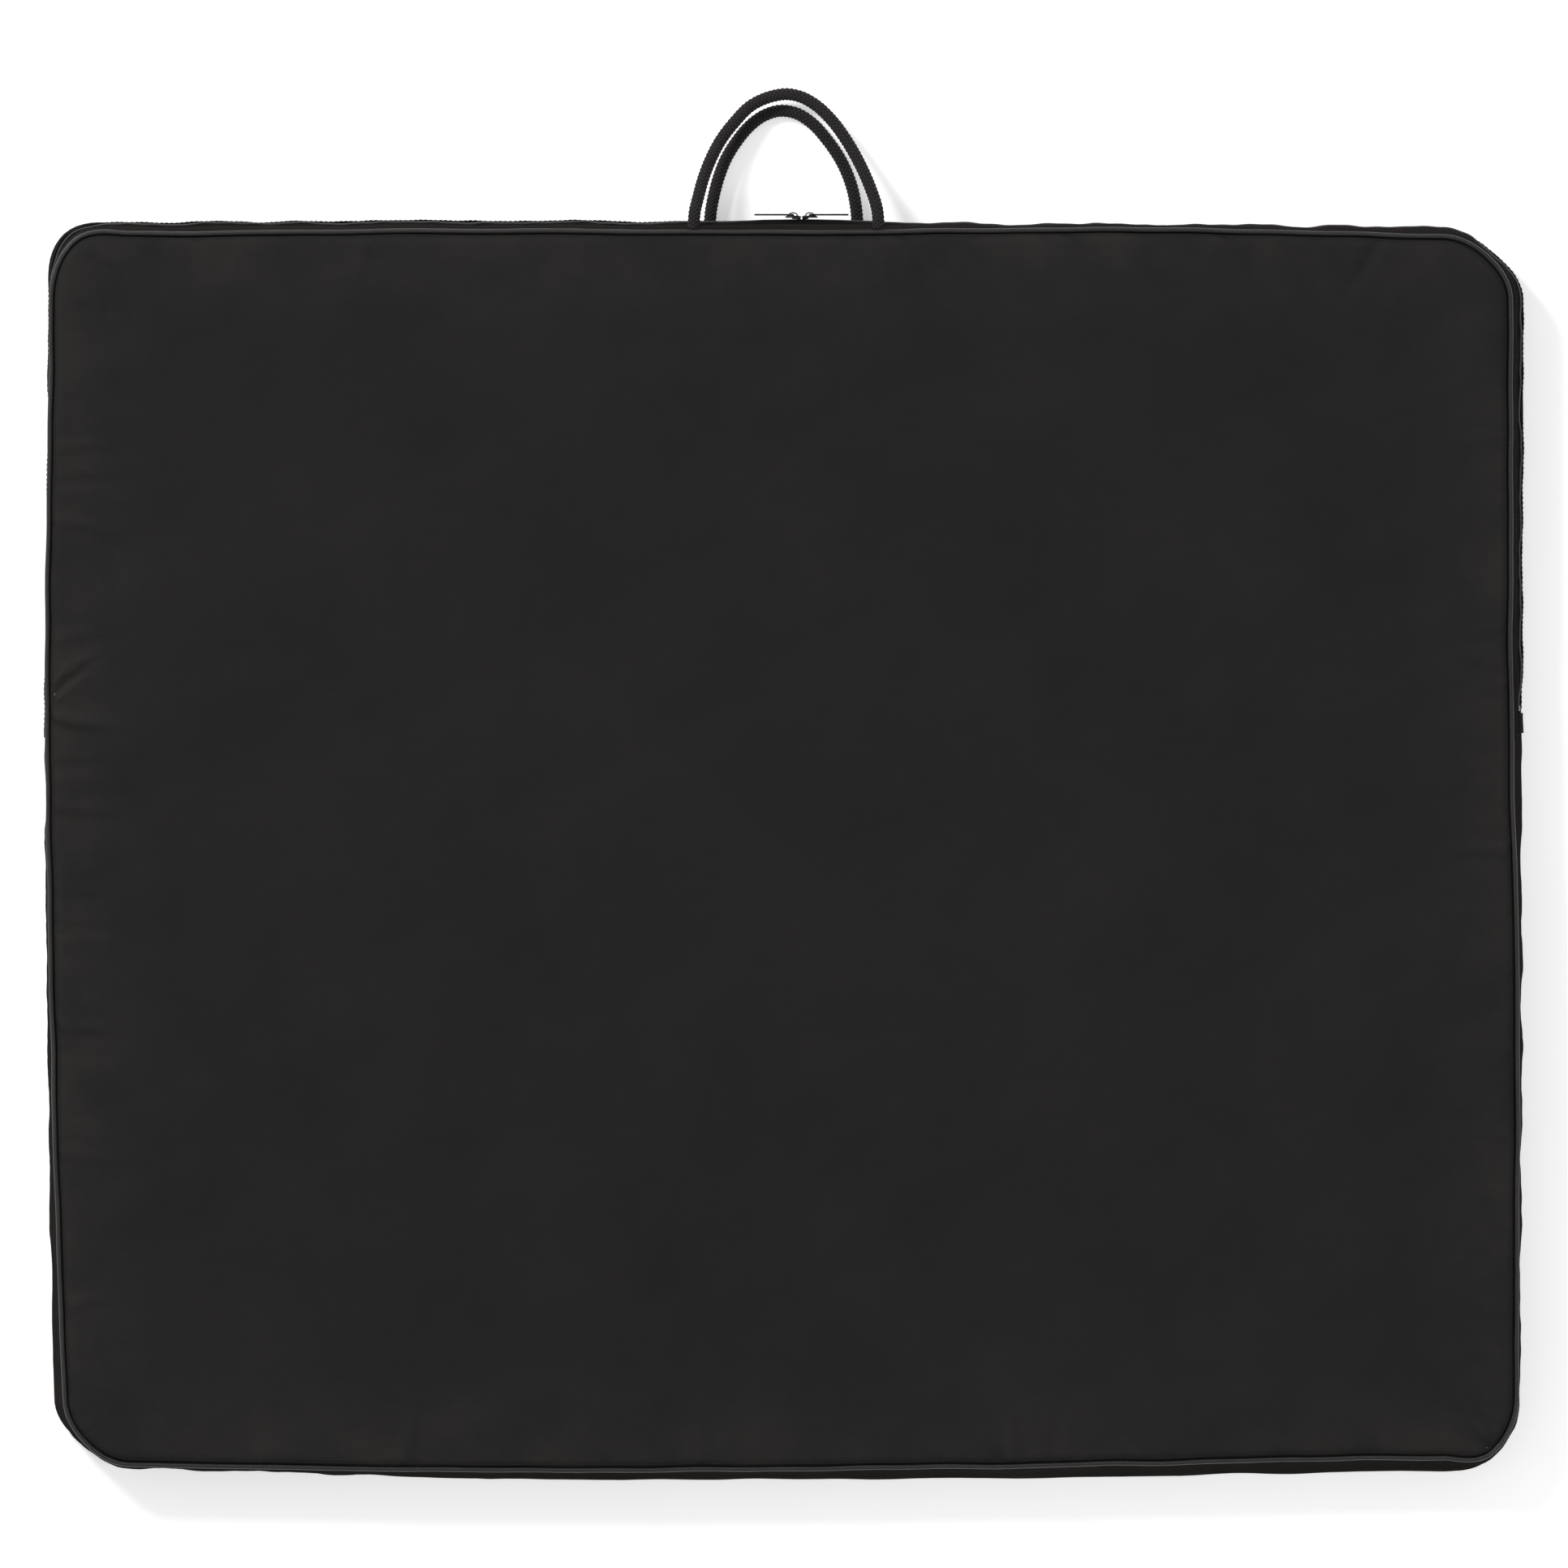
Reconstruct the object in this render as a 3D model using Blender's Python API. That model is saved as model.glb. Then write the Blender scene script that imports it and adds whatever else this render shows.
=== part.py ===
"""Soft-sided portfolio case with a zipped upper flap, a narrow gusset and two rope handles.

The case lies on its back. X runs along its width, +Y points from its closed bottom edge to the
zipped top edge and the handles, and +Z points up through the front panel. The origin is the
centre of the back face. Depths into the case are "insets", measured inwards from the outline.
"""

import math

import bmesh
import bpy
from mathutils import Matrix, Vector

# Driving dimensions, in metres.
WIDTH = 1.067
HEIGHT = 0.914
DEPTH = 0.050
CORNER_RADIUS = 0.060
CORNER_STEPS = 6
GAP = 0.0003

# The front panel folds along this line, just below the two ends of the zip.
FOLD_Y = 0.100

# Layers of the two panels, from the outside in.
COVER_THICKNESS = 0.0010
FOAM_THICKNESS = 0.0030
BOARD_THICKNESS = 0.0030
LINING_THICKNESS = 0.0006
BINDING_THICKNESS = 0.0010
BINDING_INSET = 0.0032
BINDING_WIDTH = 0.0100
WELT_RADIUS = 0.0022
WELT_LIFT = 0.0004
COVER_INSET = 2 * WELT_RADIUS + GAP
FILLING_INSET = 0.0060

# Gusset and zip. All of them are strips that stand on edge round the outline.
GUSSET_INSET = 0.0008
GUSSET_THICKNESS = 0.0008
GUSSET_STRIP_WIDTH = 0.0090
WELT_SPAN = WELT_LIFT + 2 * WELT_RADIUS + GAP
TAPE_INSET = 0.0021
TAPE_THICKNESS = 0.0006
TAPE_WIDTH = 0.0099
COIL_INSET = 0.0014
COIL_THICKNESS = 0.0020
COIL_WIDTH = 0.0027
COIL_GAP = 0.0012
END_STOP_LENGTH = 0.0040
END_TAB_LENGTH = 0.0144
END_TAB_WIDTH = 0.0240

# Zip sliders and pull tabs.
SLIDER_LENGTH = 0.0114
SLIDER_WIDTH = 0.0080
SLIDER_NECK = 0.72
SLIDER_SHOULDER = 0.2
SLIDER_PLATE = 0.0012
SLIDER_CLEARANCE = 0.0012
LEFT_SLIDER_X = 0.0048
RIGHT_SLIDER_X = 0.0168
POST_WIDTH = 0.0006
POST_START = 0.22
POST_END = 0.48
BRIDGE_WIDTH = 0.0020
BRIDGE_BAR = 0.0009
BRIDGE_SPAN = 0.0070
BRIDGE_OPENING = 0.0020
TAB_LENGTH = 0.0280
TAB_WIDTH = 0.0060
TAB_THICKNESS = 0.0012
TAB_BAR = 0.0012
TAB_RAIL = 0.0010
TAB_WINDOW = 0.0052
TAB_TIP = 0.0028

# Rope handles. A route is (x, distance from the hinge) in millimetres, in the loop's own plane.
ROPE_RADIUS = 0.0045
ROPE_SAMPLES = 27
HANDLE_AXIS_OFFSET = 0.0052
FRONT_HANDLE_Z = 0.0410
FRONT_APEX_Z = 0.0155
REAR_HANDLE_Z = 0.0090
REAR_APEX_Z = 0.0049
FRONT_ROUTE_MM = [
    (-66, 0), (-64, 8.5), (-60.6, 22), (-55.3, 37), (-47.4, 53), (-38, 66), (-25, 79.5),
    (-10, 86.3), (0, 87.8), (11, 85.5), (21, 79.6), (32, 68.8), (42.5, 54), (52.4, 36),
    (60.3, 17.5), (65.5, 0),
]
REAR_ROUTE_MM = [
    (-54.5, 0), (-52.2, 12), (-48.6, 25), (-43.4, 38), (-36, 50), (-26.8, 61), (-16.2, 68.8),
    (-5, 72.2), (7, 70.4), (17.5, 64), (29, 51.5), (40.5, 34), (47.8, 15), (50.5, 0),
]
ANCHOR_LENGTH = 0.0260
ANCHOR_INSET = 0.0030
ANCHOR_THICKNESS = 0.0011
ANCHOR_WIDTH = 0.0085
FRONT_ANCHOR_Z = 0.0335
REAR_ANCHOR_Z = 0.0105

# Heights that the layers above add up to.
TOP_EDGE = HEIGHT / 2
BACK_WELT_Z = WELT_LIFT + WELT_RADIUS
FRONT_WELT_Z = DEPTH - BACK_WELT_Z
GUSSET_LOW = WELT_SPAN
GUSSET_HIGH = DEPTH - WELT_SPAN
COIL_LOW = DEPTH / 2 - COIL_GAP / 2 - COIL_WIDTH
COIL_HIGH = DEPTH / 2 + COIL_GAP / 2 + COIL_WIDTH

# Each material's linear colour, roughness and metallic value.
MATERIALS = {
    "cover_fabric": ((0.021, 0.019, 0.019), 0.78, 0.0),
    "gusset_fabric": ((0.018, 0.017, 0.017), 0.80, 0.0),
    "welt_fabric": ((0.026, 0.025, 0.025), 0.62, 0.0),
    "lining_fabric": ((0.030, 0.030, 0.032), 0.85, 0.0),
    "binding_tape": ((0.015, 0.015, 0.016), 0.75, 0.0),
    "foam": ((0.12, 0.12, 0.13), 0.95, 0.0),
    "board": ((0.10, 0.10, 0.11), 0.55, 0.0),
    "zip_tape": ((0.010, 0.009, 0.010), 0.85, 0.0),
    "zip_coil": ((0.014, 0.014, 0.015), 0.45, 0.0),
    "zip_metal": ((0.18, 0.18, 0.19), 0.35, 1.0),
    "rope": ((0.030, 0.027, 0.029), 0.82, 0.0),
}


def clear_scene():
    for obj in list(bpy.data.objects):
        bpy.data.objects.remove(obj)


def material(name):
    """The named material, made on first use."""
    found = bpy.data.materials.get(name)
    if found:
        return found
    colour, roughness, metallic = MATERIALS[name]
    made = bpy.data.materials.new(name)
    made.use_nodes = True
    shader = made.node_tree.nodes["Principled BSDF"]
    shader.inputs["Base Color"].default_value = (*colour, 1.0)
    shader.inputs["Roughness"].default_value = roughness
    shader.inputs["Metallic"].default_value = metallic
    made.diffuse_color = (*colour, 1.0)
    return made


def add_object(name, data, material_name):
    obj = bpy.data.objects.new(name, data)
    bpy.context.scene.collection.objects.link(obj)
    obj.data.materials.append(material(material_name))
    return obj


def add_mesh(name, bm, material_name):
    """An object from a bmesh, with its faces turned outwards."""
    bmesh.ops.recalc_face_normals(bm, faces=bm.faces)
    data = bpy.data.meshes.new(name)
    bm.to_mesh(data)
    bm.free()
    data.shade_smooth()
    data.set_sharp_from_angle(angle=math.radians(35))
    return add_object(name, data, material_name)


def corner(inset, side_x, side_y, first_angle):
    """A quarter circle of the outline at one corner, turning anticlockwise from first_angle."""
    centre = Vector((side_x * (WIDTH / 2 - CORNER_RADIUS), side_y * (HEIGHT / 2 - CORNER_RADIUS)))
    radius = CORNER_RADIUS - inset
    angles = [first_angle + math.pi / 2 * i / CORNER_STEPS for i in range(CORNER_STEPS + 1)]
    return [centre + radius * Vector((math.cos(a), math.sin(a))) for a in angles]


def upper_path(inset, low_y):
    """The outline above low_y, from the right side over the top to the left side."""
    side = WIDTH / 2 - inset
    corners = corner(inset, 1, 1, 0) + corner(inset, -1, 1, math.pi / 2)
    return [Vector((side, low_y)), *corners, Vector((-side, low_y))]


def lower_path(inset, high_y):
    """The outline below high_y, from the left side along the bottom to the right side."""
    side = WIDTH / 2 - inset
    corners = corner(inset, -1, -1, math.pi) + corner(inset, 1, -1, 3 * math.pi / 2)
    return [Vector((-side, high_y)), *corners, Vector((side, high_y))]


def ring_path(inset):
    """The whole outline, closed."""
    path = corner(inset, 1, 1, 0) + corner(inset, -1, 1, math.pi / 2)
    return path + corner(inset, -1, -1, math.pi) + corner(inset, 1, -1, 3 * math.pi / 2)


def sheet(name, path, low, high, material_name):
    """A flat panel: the area inside a path, from height low to height high."""
    bm = bmesh.new()
    face = bm.faces.new([bm.verts.new((p.x, p.y, low)) for p in path])
    raised = bmesh.ops.extrude_face_region(bm, geom=[face])["geom"]
    points = [part for part in raised if isinstance(part, bmesh.types.BMVert)]
    bmesh.ops.translate(bm, verts=points, vec=(0, 0, high - low))
    return add_mesh(name, bm, material_name)


def strip(name, outer, inner, low, high, material_name, closed=False):
    """A strip that stands on edge between an outer and an inner path."""
    bm = bmesh.new()
    rings = []
    for a, b in zip(outer, inner):
        section = [(a.x, a.y, low), (a.x, a.y, high), (b.x, b.y, high), (b.x, b.y, low)]
        rings.append([bm.verts.new(point) for point in section])
    following = rings[1:] + rings[:1] if closed else rings[1:]
    for ring, after in zip(rings, following):
        for i in range(4):
            j = (i + 1) % 4
            bm.faces.new((ring[i], ring[j], after[j], after[i]))
    if not closed:
        bm.faces.new(rings[0])
        bm.faces.new(reversed(rings[-1]))
    return add_mesh(name, bm, material_name)


def tube(name, points, radius, material_name, closed=False, sizes=None):
    """A round tube along points; sizes scales its radius at each point."""
    data = bpy.data.curves.new(name, "CURVE")
    data.dimensions = "3D"
    data.bevel_depth = radius
    data.bevel_resolution = 2
    data.use_fill_caps = not closed
    spline = data.splines.new("POLY")
    spline.points.add(len(points) - 1)
    for i, place in enumerate(points):
        spline.points[i].co = (*place, 1.0)
        spline.points[i].radius = sizes[i] if sizes else 1.0
    spline.use_cyclic_u = closed
    spline.use_smooth = True
    return add_object(name, data, material_name)


def at_height(path, z):
    return [Vector((p.x, p.y, z)) for p in path]


def make_back_panel():
    low = 0.0
    layers = [
        ("back_cover", COVER_THICKNESS, COVER_INSET, "cover_fabric"),
        ("back_foam", FOAM_THICKNESS, FILLING_INSET, "foam"),
        ("back_board", BOARD_THICKNESS, FILLING_INSET, "board"),
        ("back_lining", LINING_THICKNESS, FILLING_INSET, "lining_fabric"),
    ]
    for name, thickness, inset, material_name in layers:
        sheet(name, ring_path(inset), low, low + thickness, material_name)
        low += thickness + GAP
    outer = ring_path(BINDING_INSET)
    inner = ring_path(BINDING_INSET + BINDING_WIDTH)
    strip("back_seam_binding", outer, inner, low, low + BINDING_THICKNESS, "binding_tape", True)
    welt = at_height(ring_path(WELT_RADIUS), BACK_WELT_Z)
    tube("back_piping", welt, WELT_RADIUS, "welt_fabric", closed=True)


def make_front_panel(path, edge_y, prefix, suffix):
    """One part of the front panel, from the cover down to the seam binding."""
    high = DEPTH
    layers = [
        ("cover", COVER_THICKNESS, COVER_INSET, "cover_fabric"),
        ("foam", FOAM_THICKNESS, FILLING_INSET, "foam"),
        ("lining", LINING_THICKNESS, FILLING_INSET, "lining_fabric"),
    ]
    for name, thickness, inset, material_name in layers:
        sheet(prefix + name + suffix, path(inset, edge_y), high - thickness, high, material_name)
        high -= thickness + GAP
    outer = path(BINDING_INSET, edge_y)
    inner = path(BINDING_INSET + BINDING_WIDTH, edge_y)
    name = prefix + "seam_binding" + suffix
    strip(name, outer, inner, high - BINDING_THICKNESS, high, "binding_tape")
    welt = at_height(path(WELT_RADIUS, edge_y), FRONT_WELT_Z)
    tube(prefix + "piping" + suffix, welt, WELT_RADIUS, "welt_fabric")


def make_gusset():
    outer, inner = GUSSET_INSET, GUSSET_INSET + GUSSET_THICKNESS
    below, above = FOLD_Y - GAP, FOLD_Y + GAP
    spans = [
        ("gusset_lower", lower_path, below, GUSSET_LOW, GUSSET_HIGH),
        ("gusset_rear", upper_path, above, GUSSET_LOW, GUSSET_LOW + GUSSET_STRIP_WIDTH),
        ("gusset_front", upper_path, above, GUSSET_HIGH - GUSSET_STRIP_WIDTH, GUSSET_HIGH),
    ]
    for name, path, edge_y, low, high in spans:
        strip(name, path(outer, edge_y), path(inner, edge_y), low, high, "gusset_fabric")


def make_zip():
    """The two halves of the zip, and the tabs and stops at its lower ends."""
    tape = (TAPE_INSET, TAPE_INSET + TAPE_THICKNESS)
    coil = (COIL_INSET, COIL_INSET + COIL_THICKNESS)
    tape_rear_high = COIL_LOW - GAP
    tape_front_low = COIL_HIGH + GAP
    start = FOLD_Y + 2 * GAP
    coil_start = start + END_STOP_LENGTH + GAP
    spans = [
        ("zip_tape_rear", tape, start, tape_rear_high - TAPE_WIDTH, tape_rear_high, "zip_tape"),
        ("zip_tape_front", tape, start, tape_front_low, tape_front_low + TAPE_WIDTH, "zip_tape"),
        ("zip_coil_rear", coil, coil_start, COIL_LOW, COIL_LOW + COIL_WIDTH, "zip_coil"),
        ("zip_coil_front", coil, coil_start, COIL_HIGH - COIL_WIDTH, COIL_HIGH, "zip_coil"),
    ]
    for name, insets, low_y, low, high, material_name in spans:
        outer, inner = (upper_path(inset, low_y) for inset in insets)
        strip(name, outer, inner, low, high, material_name)
    for side, word in ((-1, "left"), (1, "right")):
        make_zip_end(side, word, start)


def make_zip_end(side, word, start):
    """The fabric tab that closes one end of the zip, and the stop that the coils end in."""
    tab_high_y = FOLD_Y - 2 * GAP
    tab_low = (DEPTH - END_TAB_WIDTH) / 2
    pieces = [
        ("zip_end_tab_", (tab_high_y - END_TAB_LENGTH, tab_high_y), (0.0, GUSSET_INSET - GAP),
         (tab_low, tab_low + END_TAB_WIDTH), "gusset_fabric"),
        ("zip_stop_", (start, start + END_STOP_LENGTH), (COIL_INSET, COIL_INSET + COIL_THICKNESS),
         (COIL_LOW, COIL_HIGH), "zip_metal"),
    ]
    for name, ends, insets, heights, material_name in pieces:
        outer, inner = ([Vector((side * (WIDTH / 2 - inset), y)) for y in ends] for inset in insets)
        strip(name + word, outer, inner, *heights, material_name)


def add_box(bm, low, high):
    """A box between two corners, added to a bmesh."""
    size = Vector(high) - Vector(low)
    centre = (Vector(high) + Vector(low)) / 2
    place = Matrix.Translation(centre) @ Matrix.Diagonal((*size, 1))
    bmesh.ops.create_cube(bm, size=1.0, matrix=place)


def add_plate(bm, outline, low_y, high_y):
    """A flat plate of the given (x, z) outline between two heights along Y, added to a bmesh."""
    face = bm.faces.new([bm.verts.new((x, low_y, z)) for x, z in outline])
    raised = bmesh.ops.extrude_face_region(bm, geom=[face])["geom"]
    verts = [part for part in raised if isinstance(part, bmesh.types.BMVert)]
    bmesh.ops.translate(bm, verts=verts, vec=(0, high_y - low_y, 0))


def combine(obj, helper_name, bm, operation):
    """Adds a helper shape to an object, or cuts it away, with a Boolean. Returns the helper."""
    helper = add_mesh(helper_name, bm, "zip_metal")
    helper.hide_render = True
    helper.display_type = "WIRE"
    modifier = obj.modifiers.new(helper_name, "BOOLEAN")
    modifier.operation = operation
    modifier.object = helper
    return helper


def slider_levels():
    """The heights along Y of a slider's inner plate and outer plate, each as (low, high)."""
    inner_high = TOP_EDGE - COIL_INSET - COIL_THICKNESS - 2 * GAP
    outer_low = TOP_EDGE - COIL_INSET + SLIDER_CLEARANCE
    return (inner_high - SLIDER_PLATE, inner_high), (outer_low, outer_low + SLIDER_PLATE)


def make_slider(name, x, mouth):
    """A zip slider: two plates, the post between the coils, and the bridge for the pull tab.

    mouth is +1 where the slider's wide end faces +X, and -1 where it faces -X.
    """
    middle = DEPTH / 2
    inner, outer = slider_levels()
    length, width = SLIDER_LENGTH / 2, SLIDER_WIDTH / 2
    half_outline = [(-length, width * SLIDER_NECK), (-length * SLIDER_SHOULDER, width), (length, width)]
    outline = [(x + mouth * a, middle + b) for a, b in half_outline]
    outline += [(x + mouth * a, middle - b) for a, b in reversed(half_outline)]
    plates = bmesh.new()
    for low, high in (inner, outer):
        add_plate(plates, outline, low, high)
    slider = add_mesh(name, plates, "zip_metal")

    sunk = SLIDER_PLATE / 2
    post_x = sorted(x + mouth * SLIDER_LENGTH * share for share in (POST_START, POST_END))
    post = bmesh.new()
    add_box(post, (post_x[0], inner[1] - sunk, middle - POST_WIDTH / 2),
            (post_x[1], outer[0] + sunk, middle + POST_WIDTH / 2))
    combine(slider, name + "_post", post, "UNION")

    bridge_low = outer[1] + BRIDGE_OPENING
    reach, half = BRIDGE_SPAN / 2, BRIDGE_WIDTH / 2
    for end in (-1, 1):
        leg_x = sorted((x + end * reach, x + end * (reach - BRIDGE_BAR)))
        leg = bmesh.new()
        add_box(leg, (leg_x[0], outer[1] - sunk, middle - half),
                (leg_x[1], bridge_low + BRIDGE_BAR / 2, middle + half))
        combine(slider, f"{name}_leg{end}", leg, "UNION")
    bridge = bmesh.new()
    add_box(bridge, (x - reach, bridge_low, middle - half),
            (x + reach, bridge_low + BRIDGE_BAR, middle + half))
    combine(slider, name + "_bridge", bridge, "UNION")


def make_pull_tab(name, x, direction):
    """A flat pull tab whose end bar hooks under the slider's bridge, turning about that bar."""
    half = TAB_THICKNESS / 2
    start, side = -TAB_BAR / 2, TAB_WIDTH / 2
    half_outline = [(start, side), (TAB_LENGTH - TAB_TIP, side), (TAB_LENGTH, side / 2)]
    outline = half_outline + [(a, -b) for a, b in reversed(half_outline)]
    plate = bmesh.new()
    add_plate(plate, outline, -half, half)
    tab = add_mesh(name, plate, "zip_metal")
    window = bmesh.new()
    add_box(window, (TAB_BAR / 2, -TAB_THICKNESS, TAB_RAIL - side),
            (TAB_BAR / 2 + TAB_WINDOW, TAB_THICKNESS, side - TAB_RAIL))
    cutter = combine(tab, name + "_window", window, "DIFFERENCE")

    pivot = bpy.data.objects.new(name + "_pivot", None)
    bpy.context.scene.collection.objects.link(pivot)
    pivot.location = (x, slider_levels()[1][1] + BRIDGE_OPENING / 2, DEPTH / 2)
    pivot.rotation_euler = (0, 0, 0 if direction > 0 else math.pi)
    for obj in (tab, cutter):
        obj.parent = pivot


def along_route(route, samples):
    """Points spaced evenly on a smooth curve through a route's points, by cubic segments."""
    points = [Vector(p) * 0.001 for p in route]
    along = [0.0]
    for a, b in zip(points, points[1:]):
        along.append(along[-1] + (b - a).length)
    last = len(points) - 1
    slopes = []
    for i in range(last + 1):
        before, after = max(i - 1, 0), min(i + 1, last)
        slopes.append((points[after] - points[before]) / (along[after] - along[before]))
    found = []
    for k in range(samples):
        distance = along[-1] * k / (samples - 1)
        i = max(j for j in range(last) if along[j] <= distance)
        step = along[i + 1] - along[i]
        s = (distance - along[i]) / step
        place = points[i] * (2 * s**3 - 3 * s**2 + 1) + points[i + 1] * (3 * s**2 - 2 * s**3)
        place += (slopes[i] * (s**3 - 2 * s**2 + s) + slopes[i + 1] * (s**3 - s**2)) * step
        found.append(place)
    return found


def make_handle(name, route, base_z, apex_z):
    """A rope loop hinged at its two rounded ends, sloping from base_z down to apex_z."""
    reach = max(p[1] for p in route) * 0.001
    slope = math.asin((apex_z - base_z) / reach)
    flat = along_route(route, ROPE_SAMPLES)
    first, last = flat[0], flat[-1]
    round_end = [(-0.98, 0.2), (-0.7, 0.72), (0.0, 1.0)]
    points = [Vector((first.x, shift * ROPE_RADIUS)) for shift, _ in round_end]
    points += flat[1:-1]
    points += [Vector((last.x, shift * ROPE_RADIUS)) for shift, _ in reversed(round_end)]
    sizes = [size for _, size in round_end] + [1.0] * (len(flat) - 2)
    sizes += [size for _, size in reversed(round_end)]
    pivot = bpy.data.objects.new(name + "_pivot", None)
    bpy.context.scene.collection.objects.link(pivot)
    pivot.location = (0, TOP_EDGE + HANDLE_AXIS_OFFSET, base_z)
    pivot.rotation_euler = (slope, 0, 0)
    rope = tube(name, [(p.x, p.y, 0) for p in points], ROPE_RADIUS, "rope", sizes=sizes)
    rope.parent = pivot


def make_anchor(name, x, low):
    """The stitched patch inside the gusset that holds one rope end."""
    outer_y = TOP_EDGE - ANCHOR_INSET
    bm = bmesh.new()
    add_box(bm, (x - ANCHOR_LENGTH / 2, outer_y - ANCHOR_THICKNESS, low),
            (x + ANCHOR_LENGTH / 2, outer_y, low + ANCHOR_WIDTH))
    add_mesh(name, bm, "gusset_fabric")


def make_handles():
    handles = [
        ("front", FRONT_ROUTE_MM, FRONT_HANDLE_Z, FRONT_APEX_Z, FRONT_ANCHOR_Z),
        ("rear", REAR_ROUTE_MM, REAR_HANDLE_Z, REAR_APEX_Z, REAR_ANCHOR_Z),
    ]
    for word, route, base_z, apex_z, anchor_low in handles:
        make_handle(word + "_handle_rope", route, base_z, apex_z)
        for side, end in (("left", route[0]), ("right", route[-1])):
            make_anchor(f"{word}_handle_anchor_{side}", end[0] * 0.001, anchor_low)


def main():
    clear_scene()
    make_back_panel()
    make_front_panel(lower_path, FOLD_Y - GAP, "front_", "_lower")
    make_front_panel(upper_path, FOLD_Y + GAP, "flap_", "")
    make_gusset()
    make_zip()
    make_slider("left_slider", LEFT_SLIDER_X, 1)
    make_slider("right_slider", RIGHT_SLIDER_X, -1)
    make_pull_tab("left_pull_tab", LEFT_SLIDER_X, -1)
    make_pull_tab("right_pull_tab", RIGHT_SLIDER_X, 1)
    make_handles()


main()
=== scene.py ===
"""The looks of a soft portfolio case: woven covers, welts, gusset, zip, rope handles and lining.

The case lies on its back. +Y is its zipped top edge, +Z its front. Lengths are in metres, apart
from tables whose names end in _MM. Every piece follows one outline, a rounded rectangle taken
from the frame: s is the distance along it, anticlockwise from the low end of its right side, and
an inset is measured inwards from it. The front and the back panel each have their own insets,
because the soft case lies a little askew.
"""

import math

import bmesh
import bpy
import numpy as np
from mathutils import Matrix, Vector
from mathutils.bvhtree import BVHTree
from mathutils.geometry import delaunay_2d_cdt


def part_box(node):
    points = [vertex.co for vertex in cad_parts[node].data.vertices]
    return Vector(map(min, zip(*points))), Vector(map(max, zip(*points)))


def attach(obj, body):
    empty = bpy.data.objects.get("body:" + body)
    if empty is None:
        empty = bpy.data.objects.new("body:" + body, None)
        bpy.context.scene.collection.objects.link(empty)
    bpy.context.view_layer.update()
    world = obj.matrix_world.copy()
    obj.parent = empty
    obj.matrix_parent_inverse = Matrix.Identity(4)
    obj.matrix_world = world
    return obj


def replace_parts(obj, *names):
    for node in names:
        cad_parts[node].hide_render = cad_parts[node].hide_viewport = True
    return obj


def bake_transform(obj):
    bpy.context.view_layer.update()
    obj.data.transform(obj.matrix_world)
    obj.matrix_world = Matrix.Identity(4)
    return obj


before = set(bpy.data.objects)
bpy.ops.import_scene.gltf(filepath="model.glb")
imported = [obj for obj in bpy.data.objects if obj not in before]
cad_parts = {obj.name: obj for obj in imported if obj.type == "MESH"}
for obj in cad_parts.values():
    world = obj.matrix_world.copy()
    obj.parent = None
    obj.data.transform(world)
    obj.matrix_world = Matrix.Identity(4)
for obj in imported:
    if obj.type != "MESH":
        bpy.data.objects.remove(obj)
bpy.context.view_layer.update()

MM = 0.001
TURN = 2 * math.pi
CAMERA_CENTRE = (-0.0018, 0.0480)
VIEW_WIDTH = 1.1314
CAMERA_DISTANCE = 40.0
SENSOR_MM = 36.0

# The outline, and the heights of the layers, as the frame has them.
HALF_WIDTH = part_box("back_piping")[1].x
HALF_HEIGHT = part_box("back_piping")[1].y
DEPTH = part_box("flap_cover")[1].z
MIDDLE_Z = DEPTH / 2
WELT_RADIUS = 0.0022
WELT_SHOWN = 0.0018
BACK_WELT_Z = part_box("back_piping")[0].z + WELT_RADIUS
FRONT_WELT_Z = DEPTH - BACK_WELT_Z
CORNER_RADIUS = 0.060
FOLD_Y = 0.100
FOLD_REACH = 0.015

FLAT_X = HALF_WIDTH - CORNER_RADIUS
FLAT_Y = HALF_HEIGHT - CORNER_RADIUS
ARC = math.pi / 2 * CORNER_RADIUS
LENGTHS = np.array([2 * FLAT_Y, ARC, 2 * FLAT_X, ARC] * 2)
STARTS = np.concatenate([[0.0], np.cumsum(LENGTHS)[:-1]])
PERIMETER = float(LENGTHS.sum())
CENTRES = np.array([(FLAT_X, -FLAT_Y), (FLAT_X, FLAT_Y), (-FLAT_X, FLAT_Y), (-FLAT_X, -FLAT_Y)])

# Insets at even steps along each stretch: right, its corner, top, its corner, left, its corner,
# bottom, its corner. The first is the middle of the front welt, the second the back's outer edge.
FRONT_INSETS_MM = [
    [7, 6, 11],
    [11, 15],
    [14, 9, 11, 10],
    [12, 1],
    [3, 0, 4],
    [13, 16],
    [14, 10, 13],
    [19, 8],
]
BACK_INSETS_MM = [
    [5, 3, 2],
    [1, 9],
    [12, 9, 5, 2],
    [4, -9],
    [0, -1, 0],
    [4, 13],
    [12, 2, 3],
    [8, 5],
]

# The zip. Its line stays near the frame's own at the sliders and eases towards the middle of
# the gusset further away.
ZIP_INSET = 0.0024
SLIDER_MIDDLE_X = 0.0110
SLIDER_PULL = 0.070
ZIP_STOP_LENGTH = 0.0040
COIL_REACH = 0.0019
COIL_OFFSET = 0.0015
COIL_DEPTH = 0.0010
COIL_PITCH = 0.00145
COIL_WIRE = 0.00033
TAPE_THICKNESS = 0.0006

RIM_REACH = 0.085

# Fabric thicknesses and the heights of the panels' layers, from the middle of each welt.
COVER_THICKNESS = 0.0008
GUSSET_THICKNESS = 0.0008
SEAM_DROP = 0.0009
COVER_RISE = 0.0022

WRINKLE_DEPTH = 2.4
CREASE_HEIGHT = 0.0007
CREASE_WIDTH = 0.015

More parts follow.
